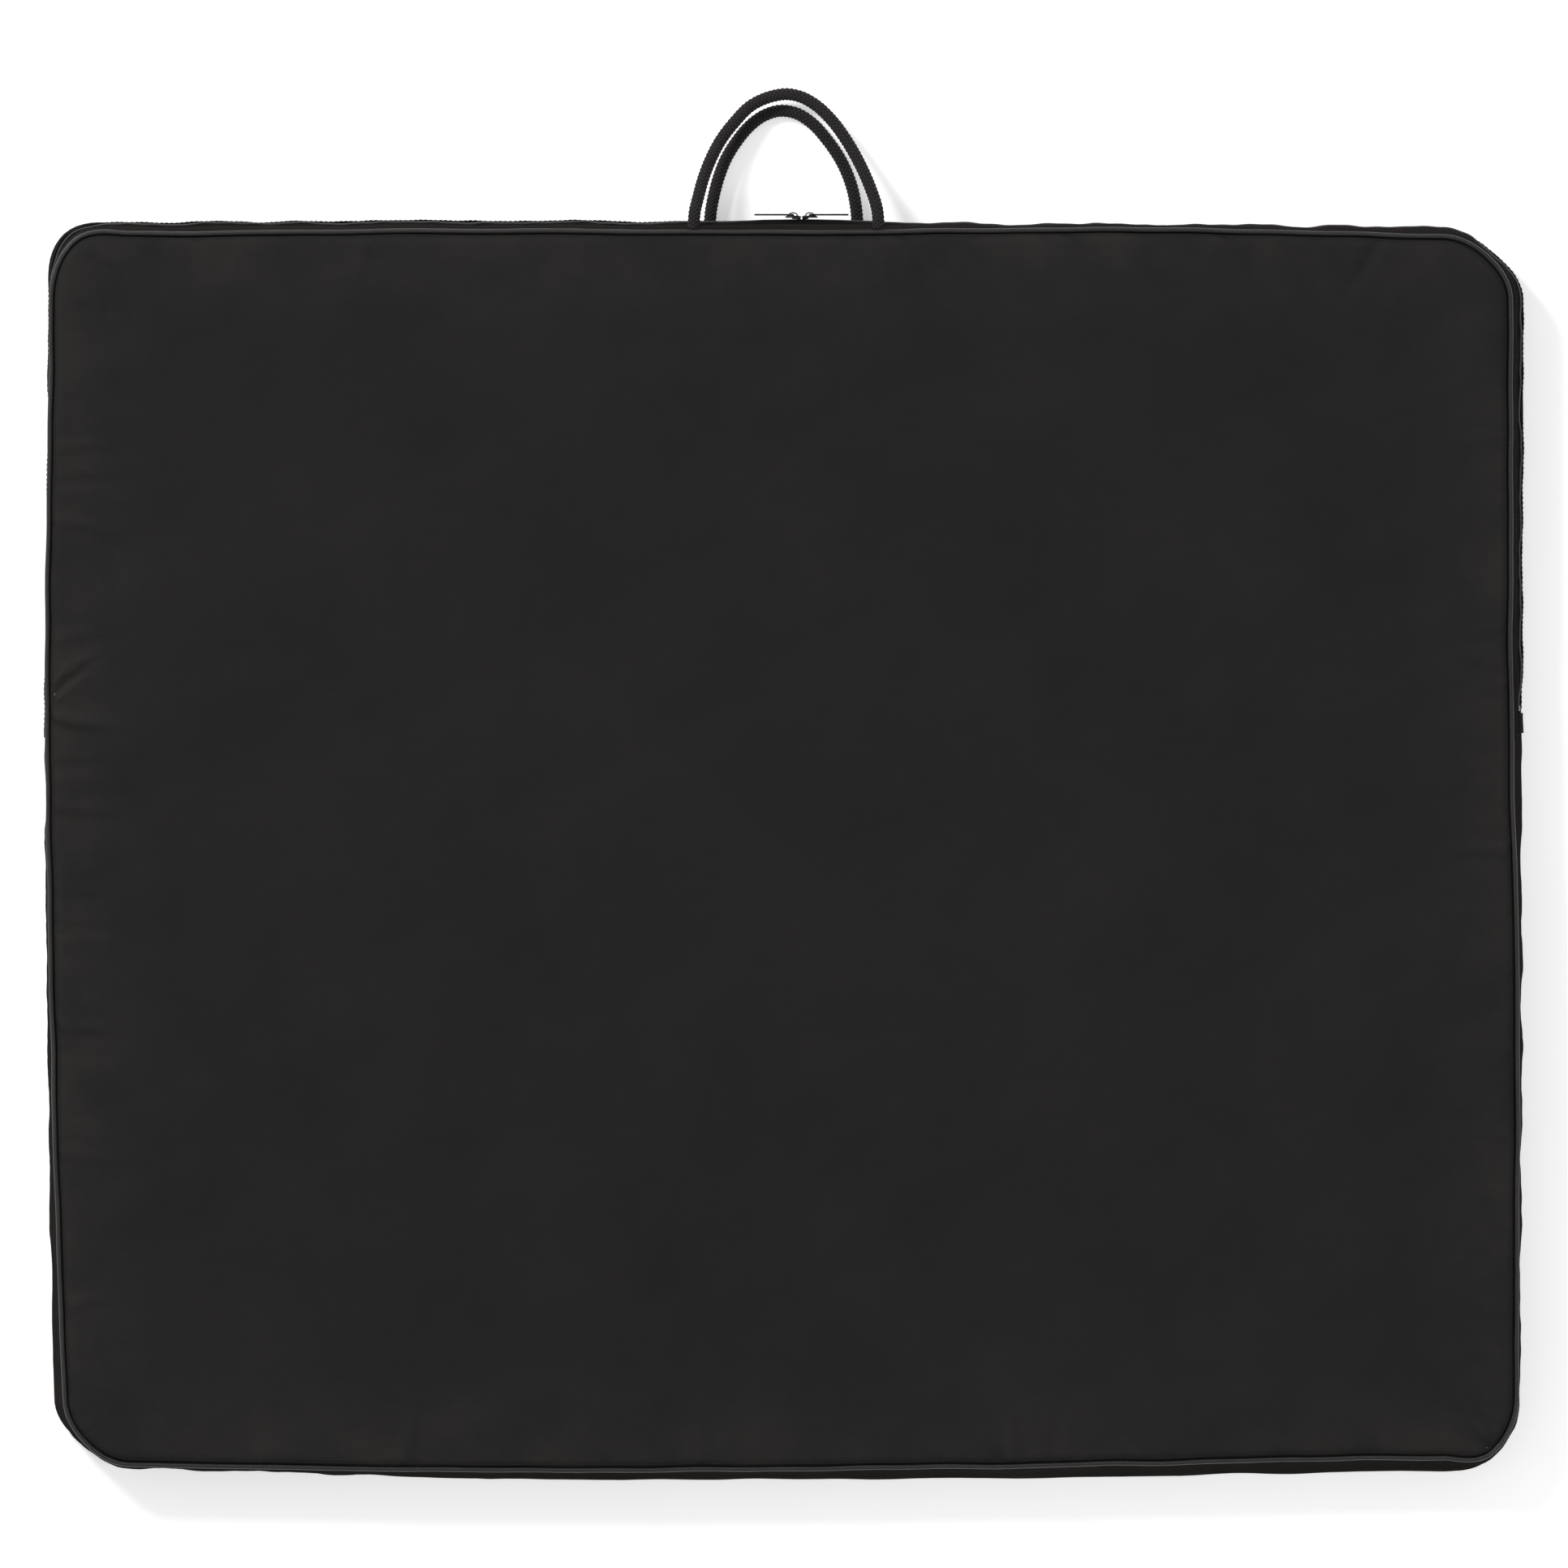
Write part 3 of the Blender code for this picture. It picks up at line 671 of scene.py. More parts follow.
def thread_material(name, dark, light, girth):
    """Twisted sewing thread or rope yarn: fibres that run along each strand, with a painted highlight on its
    crown and painted shade on its underside.
    """
    nodes = Nodes(name)
    cloth = nodes.cloth()
    fibres = nodes.noise(nodes.scaled(cloth, (420.0, 5200.0, 1.0)), 1.0, 3.0)
    fuzz = nodes.noise(cloth, 160.0, 3.0)
    axes = nodes.tree.nodes.new("ShaderNodeSeparateXYZ")
    nodes.feed(axes.inputs[0], cloth)
    # Painted highlight on each strand's crown and painted shade on its underside, set by the angle round the
    # strand.
    crown_highlight_and_shade = nodes.math("SINE", nodes.math("MULTIPLY", axes.outputs[1], TURN / girth))
    tone = nodes.math("MULTIPLY_ADD", fuzz, 0.5, nodes.math("MULTIPLY", fibres, 0.6))
    tone = nodes.math("MULTIPLY_ADD", crown_highlight_and_shade, 0.45, nodes.math("SUBTRACT", tone, 0.25), clamp=True)
    return nodes.finish(Base_Color=nodes.mix(tone, dark, light),
                        Roughness=nodes.spread(fibres, 0.3, 0.7, 0.62, 0.8),
                        Normal=nodes.bump(fibres, 0.0002, 0.8), Sheen_Weight=0.06, Sheen_Roughness=0.4,
                        Specular_IOR_Level=0.22)


def ribbed_tape(name, dark, light, rib, relief):
    """Narrow woven tape with herringbone ribs that slant one way, then the other, with painted shade in the
    ribs' valleys and a painted highlight on their crests.
    """
    nodes = Nodes(name)
    cloth = nodes.cloth()
    axes = nodes.tree.nodes.new("ShaderNodeSeparateXYZ")
    nodes.feed(axes.inputs[0], cloth)
    slant = nodes.math("PINGPONG", axes.outputs[1], 0.0016)
    ribs = nodes.math("SINE", nodes.math("MULTIPLY", nodes.math("ADD", axes.outputs[0], slant), TURN / rib))
    height = nodes.math("MULTIPLY_ADD", ribs, 0.5, 0.5)
    grain = nodes.noise(cloth, 900.0, 3.0)
    # Painted shade and highlight: darker in the ribs' valleys, paler on their crests.
    tone = nodes.math("MULTIPLY_ADD", grain, 0.4, nodes.math("MULTIPLY", height, 0.6), clamp=True)
    return nodes.finish(Base_Color=nodes.mix(tone, dark, light),
                        Roughness=nodes.spread(grain, 0.3, 0.7, 0.75, 0.9),
                        Normal=nodes.bump(height, relief, 0.9), Sheen_Weight=0.01, Specular_IOR_Level=0.02)


def worn_metal(name):
    """Dark nickel with fine scratches, rubbed brighter in patches."""
    nodes = Nodes(name)
    place = nodes.add("ShaderNodeTexCoord", "Object", {})
    scratches = nodes.noise(nodes.scaled(place, (900.0, 9000.0, 2500.0)), 1.0, 2.0)
    rubbed = nodes.noise(place, 420.0, 4.0)
    tone = nodes.spread(rubbed, 0.42, 0.62, 0.0, 1.0)
    rough = nodes.math("ADD", nodes.spread(rubbed, 0.3, 0.7, 0.42, 0.24),
                       nodes.math("MULTIPLY", scratches, 0.12))
    return nodes.finish(Base_Color=nodes.mix(tone, (0.010, 0.010, 0.0105), (0.060, 0.058, 0.058)),
                        Metallic=1.0, Roughness=rough, Normal=nodes.bump(scratches, 0.00004, 0.5))


def moulded(name, dark, light, roughness, scale, relief):
    """Plastic or foam with a fine uneven surface."""
    nodes = Nodes(name)
    place = nodes.add("ShaderNodeTexCoord", "Object", {})
    grain = nodes.noise(place, scale, 4.0)
    cloud = nodes.noise(place, 30.0, 3.0)
    return nodes.finish(Base_Color=nodes.mix(cloud, dark, light),
                        Roughness=nodes.spread(grain, 0.3, 0.7, roughness - 0.06, roughness + 0.06),
                        Normal=nodes.bump(grain, relief, 0.7))


COVER = fabric("cover_weave", (0.0044, 0.0036, 0.0039), (0.0110, 0.0092, 0.0098),
               0.0008, 0.00022, 0.54, 0.02, 0.20, (0.0215, 0.0203, 0.0172))
GUSSET = fabric("gusset_weave", (0.0098, 0.0085, 0.0076), (0.0230, 0.0200, 0.0180),
                0.0008, 0.00022, 0.78, 0.01, 0.0)
WELT = fabric("welt_weave", (0.0034, 0.0030, 0.0031), (0.0090, 0.0079, 0.0081),
              0.0005, 0.00010, 0.33, 0.0, 0.42)
LINING = fabric("lining_weave", (0.0120, 0.0120, 0.0130), (0.0260, 0.0260, 0.0280),
                0.0005, 0.00010, 0.80, 0.03, 0.15)
THREAD = thread_material("sewing_thread", (0.0060, 0.0056, 0.0058), (0.0240, 0.0222, 0.0230), 0.0013)
ROPE = thread_material("rope_yarn", (0.0016, 0.0013, 0.0014), (0.0240, 0.0200, 0.0212), TURN * YARN_WIDTH)
TAPE = ribbed_tape("zip_tape_twill", (0.0014, 0.0010, 0.0010), (0.0060, 0.0042, 0.0042), 0.0010, 0.00012)
BINDING = ribbed_tape("binding_ribs", (0.0080, 0.0080, 0.0085), (0.0210, 0.0210, 0.0220), 0.0012, 0.00015)
COIL = moulded("coil_nylon", (0.0030, 0.0028, 0.0029), (0.0080, 0.0076, 0.0078), 0.50, 2500.0, 0.00003)
FOAM = moulded("foam_cells", (0.10, 0.10, 0.11), (0.16, 0.16, 0.17), 0.92, 1500.0, 0.0003)
BOARD = moulded("board_plastic", (0.030, 0.030, 0.032), (0.055, 0.055, 0.058), 0.5, 700.0, 0.00005)
METAL = worn_metal("dark_nickel")


# ---------------------------------------------------------------- panels

def on_body(piece, body, slot, *nodes):
    """The piece rides on a body and stands for its CAD nodes."""
    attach(piece, body)
    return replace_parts(piece, *nodes)


def over_fold(piece, slot, *nodes):
    """The piece spans the fold. Its placement is baked into its mesh, and it stands for its CAD nodes."""
    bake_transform(piece)
    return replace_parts(piece, *nodes)


def wrinkle_height(points):
    """Folds that run in from the seams: a ridge or a valley, with a shallower one on either side."""
    total = np.zeros(len(points))
    for x0, y0, x1, y1, width, height in WRINKLES_MM:
        start, end = np.array([x0, y0]) * MM, np.array([x1, y1]) * MM
        run = end - start
        length = np.linalg.norm(run)
        across = np.array([-run[1], run[0]]) / length
        along = (points - start) @ run / length**2
        aside = (points - start) @ across + 0.0012 * np.sin(5.0 * along + x0 + y0)
        q = aside / (0.38 * width * MM * (1 + 0.5 * np.clip(along, 0, 1)))
        shape = np.exp(-q * q) - 0.35 * np.exp(-((np.abs(q) - 1.9) ** 2))
        total += WRINKLE_DEPTH * height * MM * shape * np.clip(1 - along, 0, 1) ** 1.2 * (along > -0.3)
    return total


def undulation(points, seed, height, shortest, longest, count=14):
    """Broad, soft unevenness: plane waves in every direction."""
    draw = rng(seed)
    total = np.zeros(len(points))
    for _ in range(count):
        angle, phase = draw.uniform(0, math.pi), draw.uniform(0, TURN)
        wave = TURN / draw.uniform(shortest, longest)
        total += np.sin(wave * (points @ np.array([math.cos(angle), math.sin(angle)])) + phase)
    return total * height / math.sqrt(count / 2)


def cover_edge(s):
    return front_inset(s) + 0.85 * WELT_RADIUS


def back_cover_edge(s):
    return back_inset(s) + 0.85 * WELT_RADIUS


def smooth_cover(points):
    """The front cover's height before any wrinkles, and the depth inside its seam, at points (n, 2)."""
    s, depth = locate(points)
    depth = np.maximum(depth - cover_edge(s), 0)
    return FRONT_WELT_Z - SEAM_DROP + (COVER_RISE + SEAM_DROP) * (1 - np.exp(-depth / 0.0026)), depth


def settle(points, triangles, pinned, slack, floor):
    """Lets a sheet of cloth settle, held along its edge and a little too large where it is slack."""
    data = bpy.data.meshes.new("settling")
    data.from_pydata(points.tolist(), [], triangles.tolist())
    cloth = bpy.data.objects.new("settling", data)
    bpy.context.scene.collection.objects.link(cloth)
    cloth.vertex_groups.new(name="held").add(list(range(pinned)), 1.0, "REPLACE")
    loose = cloth.vertex_groups.new(name="slack")
    for i, share in enumerate(slack):
        loose.add([i], float(share), "REPLACE")
    modifier = cloth.modifiers.new("Cloth", "CLOTH")
    settings = modifier.settings
    settings.quality = CLOTH_QUALITY
    settings.mass = CLOTH_MASS
    settings.air_damping = CLOTH_DAMPING
    settings.tension_stiffness = settings.compression_stiffness = CLOTH_STIFFNESS
    settings.shear_stiffness = CLOTH_SHEAR
    settings.bending_stiffness = CLOTH_BENDING
    settings.vertex_group_mass = "held"
    settings.vertex_group_shrink = "slack"
    settings.shrink_min = 0.0
    settings.shrink_max = -CLOTH_SLACK
    modifier.collision_settings.distance_min = CLOTH_GAP
    modifier.collision_settings.use_self_collision = False
    floor.modifiers.new("Collision", "COLLISION")
    floor.collision.thickness_outer = CLOTH_GAP
    scene = bpy.context.scene
    scene.frame_start, scene.frame_end = 1, CLOTH_FRAMES
    modifier.point_cache.frame_start, modifier.point_cache.frame_end = 1, CLOTH_FRAMES
    for step in range(1, CLOTH_FRAMES + 1):
        scene.frame_set(step)
    settled = cloth.evaluated_get(bpy.context.evaluated_depsgraph_get())
    found = np.empty(3 * len(points), np.float32)
    settled.data.vertices.foreach_get("co", found)
    scene.frame_set(1)
    for temporary in (cloth, floor):
        mesh = temporary.data
        bpy.data.objects.remove(temporary)
        bpy.data.meshes.remove(mesh)
    return found.reshape(-1, 3).astype(float)


def simulated_relief(points):
    """How far the settled cover stands above or below its smooth shape, at points (n, 2)."""
    flat, triangles = panel_points(cover_edge, [0.0, 0.5 * CLOTH_SPACING], CLOTH_SPACING, CLOTH_SPACING)
    smooth, depth = smooth_cover(flat)
    near_edge = np.exp(-((depth / CLOTH_REACH) ** 2))
    crease = np.abs(wrinkle_height(flat)) / MM
    slack = np.clip(SLACK_AT_EDGE + 0.75 * crease, 0, 1) * near_edge + SLACK_EVERYWHERE
    folds = START_FOLDS * wrinkle_height(flat) + undulation(flat, 23, 0.0002, 0.02, 0.06)
    start = smooth + (1 - np.exp(-depth / 0.0025)) * folds
    bed, bed_triangles = panel_points(lambda s: cover_edge(s) + BED_INSET, [0.0], BED_SPACING, BED_SPACING)
    top = FRONT_WELT_Z + COVER_RISE - 2 * CLOTH_GAP
    floor = slab("settling_bed", bed, bed_triangles, top, top - BED_DEPTH, COVER)
    found = settle(np.column_stack([flat, start]), triangles, len(RING), np.clip(slack, 0, 1), floor)
    surface = BVHTree.FromPolygons(found.tolist(), triangles.tolist())
    smooth, depth = smooth_cover(points)
    relief = np.zeros(len(points))
    for i, (x, y) in enumerate(points):
        hit = surface.ray_cast(Vector((x, y, 1.0)), Vector((0, 0, -1)))[0]
        if hit is not None:
            relief[i] = hit.z - smooth[i]
    relief -= np.median(relief)
    return np.clip(relief, -CLOTH_LIMIT, CLOTH_LIMIT) * np.clip(depth / CLOTH_SPACING - 0.3, 0, 1)


def make_front_cover():
    flat, triangles = panel_points(cover_edge, COVER_DEPTHS, COVER_SPACING, fine_rim=FINE_RIM)
    s = locate(flat)[0]
    height, depth = smooth_cover(flat)
    rise = COVER_RISE + SEAM_DROP
    free = 1 - np.exp(-depth / 0.0025)
    height += free * (wrinkle_height(flat) + undulation(flat, 21, 0.00035, 0.05, 0.22))
    height += free * ripple(s, 22, 0.009, 0.03, 0.00030, 14) * np.exp(-depth / 0.015)
    height += simulated_relief(flat)
    cover = slab("front_cover", flat, triangles, height, height - COVER_THICKNESS, COVER)
    over_fold(cover, "cover_fabric", "front_cover_lower", "flap_cover")
    row = at_inset(RING, cover_edge(RING) + 0.0019, 0.0)
    row[:, 2] = FRONT_WELT_Z - SEAM_DROP + rise * (1 - math.exp(-0.0019 / 0.0026)) + 0.00005
    lean = np.column_stack([0.35 * outline_frame(RING)[1], np.ones(len(RING))])
    over_fold(stitches("front_cover_stitches", row, lean, THREAD), "cover_fabric")


def make_back_cover():
    flat, triangles = panel_points(back_cover_edge, COVER_DEPTHS[::2], 2 * COVER_SPACING)
    s, depth = locate(flat)
    depth = np.maximum(depth - back_cover_edge(s), 0)
    rise = (BACK_WELT_Z + SEAM_DROP - 0.0004) * np.exp(-depth / 0.0026)
    low = 0.0004 + rise + (1 - np.exp(-depth / 0.004)) * undulation(flat, 31, 0.00012, 0.05, 0.2)
    cover = slab("back_cover_cloth", flat, triangles, low + COVER_THICKNESS, low, COVER)
    on_body(cover, "case", "cover_fabric", "back_cover")


def make_fillings():
    """The padding, board and lining between the covers, which follow each panel's own edge."""
    layers = [
        ("front_foam", front_inset, 0.0050, 0.0457, 0.0474, FOAM, "foam", ("front_foam_lower", "flap_foam")),
        ("front_lining", front_inset, 0.0040, 0.0448, 0.0454, LINING, "lining_fabric",
         ("front_lining_lower", "flap_lining")),
        ("back_foam_pad", back_inset, 0.0050, 0.0018, 0.0043, FOAM, "foam", ("back_foam",)),
        ("back_board_sheet", back_inset, 0.0050, 0.0046, 0.0076, BOARD, "board", ("back_board",)),
        ("back_lining_cloth", back_inset, 0.0040, 0.0079, 0.0085, LINING, "lining_fabric", ("back_lining",)),
    ]
    for name, inset, shift, low, high, material, slot, nodes in layers:
        flat, triangles = panel_points(lambda s: inset(s) + shift, FILLING_DEPTHS, FILLING_SPACING)
        wave = undulation(flat, len(name), 0.00010, 0.04, 0.16) if material is LINING else 0.0
        piece = slab(name, flat, triangles, high + wave, low + wave, material)
        if inset is front_inset:
            over_fold(piece, slot, *nodes)
        else:
            on_body(piece, "case", slot, *nodes)


def make_binding(name, inset, low, high, stitched_z, up, place):
    """The tape that covers a panel's seam allowance on the inside, and its row of stitches."""
    across = np.linspace(-0.0006, 0.0112, 6)
    sag = ripple(RING, 41, 0.02, 0.09, 0.00012)
    outer = np.stack([at_inset(RING, inset(RING) + a, high + sag) for a in across], 1)
    inner = np.stack([at_inset(RING, inset(RING) + a, low + sag) for a in across], 1)
    place(strip(name, inner, outer, BINDING, closed=True))
    lift = np.tile([0.0, 0.0, up], (len(RING), 1))
    for count, shift in enumerate((0.0022, 0.0100)):
        row = at_inset(RING, inset(RING) + shift, stitched_z + sag)
        place(stitches(f"{name}_stitches_{count}", row, lift, THREAD, pitch=0.0042, length=0.0030), trim=True)


def make_bindings():
    def on_front(piece, trim=False):
        nodes = () if trim else ("front_seam_binding_lower", "flap_seam_binding")
        over_fold(piece, "binding_tape", *nodes)

    def on_back(piece, trim=False):
        on_body(piece, "case", "binding_tape", *(() if trim else ("back_seam_binding",)))

    make_binding("front_binding", front_inset, 0.0436, 0.0445, 0.0436, -1, on_front)
    make_binding("back_binding", back_inset, 0.0088, 0.0097, 0.0097, 1, on_back)


# ---------------------------------------------------------------- welts and gusset

def make_welt(name, inset, z, seed):
    """A cord wrapped in fabric, a little uneven, with faint wrinkles where it turns."""
    turn = np.max(np.abs(outline_frame(RING)[1]), axis=1)
    uneven = 1 + ripple(RING, seed, 0.012, 0.05, 0.025)
    uneven = uneven + (1 - turn) * ripple(RING, seed + 1, 0.006, 0.012, 0.10)
    path = at_inset(RING, inset(RING), z + ripple(RING, seed + 2, 0.06, 0.25, 0.00022))
    return tube(name, path, (WELT_SHOWN * uneven)[:, None], WELT, sides=14, closed=True)


def lap_shift(s):
    """How far outwards the front strip lies where it laps over the gusset's lower band."""
    y = outline_frame(s)[0][:, 1]
    return -LAP_LIFT * np.clip((FOLD_Y + 2 * LAP - y) / LAP, 0, 1)


def gusset_strip(name, s, heights, material, shift=0.0, thickness=GUSSET_THICKNESS):
    """A strip of fabric that stands on edge along the gusset's surface, shifted inwards from it."""
    near_welt = np.clip((FRONT_WELT_Z - heights) / LIFT_REACH, 0, 1)
    lifts = [shift * share for share in near_welt] if np.ndim(shift) else [shift] * len(heights)

    def layer(extra):
        return np.stack([at_inset(s, gusset_inset(s, z) + lift + extra, z)
                         for z, lift in zip(heights, lifts)], 1)

    return strip(name, layer(0.0), layer(thickness), material)


def gusset_row(name, s, z, shift, pitch=0.0036):
    path = at_inset(s, gusset_inset(s, z) + shift, z)
    up = np.column_stack([outline_frame(s)[1], np.zeros(len(s))])
    return stitches(name, path, up, THREAD, pitch=pitch)


def make_gusset():
    low, high = BACK_WELT_Z + 0.5 * WELT_RADIUS, FRONT_WELT_Z - 0.5 * WELT_RADIUS
    lower = stations(LEFT_FOLD, RIGHT_FOLD + PERIMETER, 0.0045, 0.0024)
    upper = stations(RIGHT_FOLD, LEFT_FOLD, 0.0045, 0.0024)
    lapped = stations(RIGHT_FOLD - LAP, LEFT_FOLD + LAP, 0.0045, 0.0024)
    on_body(gusset_strip("gusset_band", lower, np.linspace(low, high, 17), GUSSET),
            "case", "gusset_fabric", "gusset_lower")
    on_body(gusset_strip("gusset_band_rear", upper, np.linspace(low, GUSSET_REAR_EDGE, 6), GUSSET),
            "case", "gusset_fabric", "gusset_rear")
    over_fold(gusset_strip("gusset_band_front", lapped, np.linspace(GUSSET_FRONT_EDGE, high, 6), GUSSET,
                           lap_shift(lapped)), "gusset_fabric", "gusset_front")
    on_body(gusset_row("gusset_stitches_rear", upper, GUSSET_REAR_EDGE - 0.0016, 0.0),
            "case", "gusset_fabric")
    over_fold(gusset_row("gusset_stitches_front", lapped, GUSSET_FRONT_EDGE + 0.0016, lap_shift(lapped)),
              "gusset_fabric")



def make_zip():
    """Both tapes, each with its coil of nylon teeth, and the stops and tabs that end them."""
    s = stations(RIGHT_FOLD + 0.0010, LEFT_FOLD - 0.0010, 0.0045, 0.0024)
    rear = gusset_strip("zip_tape_rear_twill", s, np.linspace(0.0115, 0.0219, 6),
                        TAPE, 0.0012, TAPE_THICKNESS)
    on_body(rear, "case", "zip_tape", "zip_tape_rear")
    front = gusset_strip("zip_tape_front_twill", s, np.linspace(0.0281, 0.0422, 8),
                         TAPE, 0.0012, TAPE_THICKNESS)
    over_fold(front, "zip_tape", "zip_tape_front")
    on_body(make_coil("zip_teeth_rear", -1), "case", "zip_coil", "zip_coil_rear")
    over_fold(make_coil("zip_teeth_front", 1), "zip_coil", "zip_coil_front")
    for word, side in (("right", 1), ("left", -1)):
        middle = RIGHT_FOLD if side > 0 else LEFT_FOLD
        ends = sorted((middle + side * 0.0006, middle + side * (0.0006 + ZIP_STOP_LENGTH)))
        stop = gusset_strip(f"zip_stop_{word}_crimp", np.linspace(*ends, 7), np.linspace(0.0212, 0.0288, 9),
                            METAL, 0.0002, 0.0024)
        on_body(stop, "case", "zip_metal", f"zip_stop_{word}")
        ends = sorted((middle - side * 0.0152, middle - side * 0.0006))
        tab = gusset_strip(f"zip_tab_{word}", np.linspace(*ends, 9), np.linspace(0.0130, 0.0370, 12),
                           GUSSET, -0.0014, 0.0009)
        on_body(tab, "case", "gusset_fabric", f"zip_end_tab_{word}")
        for count, shift in enumerate((0.0022, 0.0136)):
            at = np.full(12, middle - side * shift)
            z = np.linspace(0.0138, 0.0362, 12)
            path = np.concatenate([at_inset(at[i:i + 1], gusset_inset(at[i:i + 1], z[i]) - 0.0014, z[i])
                                   for i in range(12)])
            up = np.column_stack([outline_frame(at)[1], np.zeros(12)])
            row = stitches(f"zip_tab_{word}_stitches_{count}", path, up, THREAD, pitch=0.0030, length=0.0022)
            on_body(row, "case", "gusset_fabric")


def make_coil(name, half):
    """One side's coil: a wire that loops round the edge of its tape, tooth after tooth.

    half is -1 for the rear side and +1 for the front. Their teeth mesh, half a pitch apart.
    """
    start = RIGHT_FOLD + 0.0010 + ZIP_STOP_LENGTH + (COIL_PITCH / 2 if half > 0 else 0.0)
    turns = int((LEFT_FOLD - RIGHT_FOLD - 2 * (0.0016 + ZIP_STOP_LENGTH)) / COIL_PITCH)
    angle = TURN * np.arange(turns * COIL_STEPS) / COIL_STEPS
    s = start + COIL_PITCH * angle / TURN
    out, rise = np.sin(angle), np.cos(angle)
    z = MIDDLE_Z + half * (COIL_REACH - COIL_MESH) + COIL_REACH * rise
    line = gusset_inset(s, MIDDLE_Z)
    path = at_inset(s, line + COIL_OFFSET - COIL_DEPTH * out, z)
    outward = outline_frame(s)[1]
    radial = unit(np.column_stack([outward * (out * COIL_REACH)[:, None], rise * COIL_DEPTH]))
    forward = np.column_stack([-outward[:, 1], outward[:, 0], np.zeros(len(s))])
    return sweep(Shape(), path, radial, forward, COIL_WIRE, COIL_SIDES).piece(name, COIL)


# ---------------------------------------------------------------- handles

def smooth_route(points, count):
    """Points spaced evenly on a smooth curve through a route's points."""
    points = np.asarray(points, float)
    along = running_length(points)
    slopes = np.gradient(points, along, axis=0)
    at = np.linspace(0, along[-1], count)
    i = np.clip(np.searchsorted(along, at, side="right") - 1, 0, len(points) - 2)
    step = (along[i + 1] - along[i])[:, None]
    t = (at - along[i])[:, None] / step
    ease = t * t * (3 - 2 * t)
    bend = step * (slopes[i] * t * (1 - t) ** 2 - slopes[i + 1] * t * t * (1 - t))
    return points[i] * (1 - ease) + points[i + 1] * ease + bend


def handle_path(route, heights):
    """The rope's whole route in space: its loop, and the ends that go down through the seam."""
    base_z, apex_z = heights
    reach = max(p[1] for p in route) * MM
    slope = math.asin((apex_z - base_z) / reach)
    loop = [(x * MM, HANDLE_AXIS_Y + d * MM * math.cos(slope), base_z + d * MM * math.sin(slope))
            for x, d in route]
    first, last = loop[0], loop[-1]
    start = (first[0] - 0.0012, HANDLE_AXIS_Y - ROPE_ROOT, base_z)
    end = (last[0] + 0.0010, HANDLE_AXIS_Y - ROPE_ROOT, base_z)
    return smooth_route([start, *loop, end], ROPE_POINTS)


def make_rope(word, route, heights):
    """A braided rope: yarns that wind both ways round a core, each over one and under the next."""
    path = handle_path(route, heights)
    along = running_length(path)
    forward = unit(np.gradient(path, axis=0))
    level = unit(np.cross(forward, (0, 0, 1)))
    over = np.cross(level, forward)
    shape = Shape()
    sweep(shape, path[::6], level[::6], over[::6], ROPE_CORE, 10)
    crossing = ROPE_LAY / (2 * ROPE_CARRIERS)
    weaving = YARN_WEAVE * np.cos(math.pi * along / crossing)
    for turn in (-1, 1):
        for carrier in range(ROPE_CARRIERS):
            angle = turn * TURN * along / ROPE_LAY + TURN * carrier / ROPE_CARRIERS
            outward = np.cos(angle)[:, None] * level + np.sin(angle)[:, None] * over
            yarn = path + outward * (YARN_DISTANCE + turn * weaving)[:, None]
            ahead = unit(np.gradient(yarn, axis=0))
            aside = unit(np.cross(ahead, outward))
            sweep(shape, yarn, aside, np.cross(aside, ahead), YARN_WIDTH, YARN_SIDES, flat=YARN_FLATNESS)
    rope = shape.piece(f"{word}_handle_braid", ROPE, sharp_angle=80)
    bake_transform(rope)
    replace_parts(rope, f"{word}_handle_rope")


def make_anchors():
    """The patches inside the gusset that the rope ends are sewn to, each with two rows of stitches."""
    handles = [("front", FRONT_ROUTE_MM, 0.0335, "flap"), ("rear", REAR_ROUTE_MM, 0.0105, "case")]
    for word, route, low, body in handles:
        for side, end in (("left", route[0]), ("right", route[-1])):
            middle = STARTS[2] + FLAT_X - end[0] * MM
            s = np.linspace(middle - 0.013, middle + 0.013, 9)
            heights = np.linspace(low, low + 0.0085, 6)
            patch = gusset_strip(f"{word}_anchor_{side}", s, heights, GUSSET, 0.0022, 0.0011)
            on_body(patch, body, "gusset_fabric", f"{word}_handle_anchor_{side}")
            for count, z in enumerate((low + 0.0012, low + 0.0073)):
                path = at_inset(s, gusset_inset(s, z) + 0.0033, z)
                up = -np.column_stack([outline_frame(s)[1], np.zeros(len(s))])
                name = f"{word}_anchor_{side}_stitches_{count}"
                row = stitches(name, path, up, THREAD, pitch=0.0024, length=0.0019)
                on_body(row, body, "gusset_fabric")


# ---------------------------------------------------------------- sliders and pull tabs

def rounded_outline(corners, radius, steps=5):
    """A convex outline (n, 2) with a round at each corner."""
    corners = np.asarray(corners, float)
    points = []
    for before, corner, after in zip(np.roll(corners, 1, 0), corners, np.roll(corners, -1, 0)):
        to_before, to_after = unit(before - corner), unit(after - corner)
        for t in np.linspace(0, 1, steps):
            points.append(corner + radius * (to_before * (1 - t) ** 2 + to_after * t**2))
    return np.array(points)


def shrunk(outline, distance):
    """An outline moved inwards by a distance."""
    run = unit(np.roll(outline, -1, 0) - np.roll(outline, 1, 0))
    normal = np.column_stack([-run[:, 1], run[:, 0]])
    inward = np.sign(np.sum((outline.mean(0) - outline) * normal, axis=1))
    return outline + distance * normal * inward[:, None]


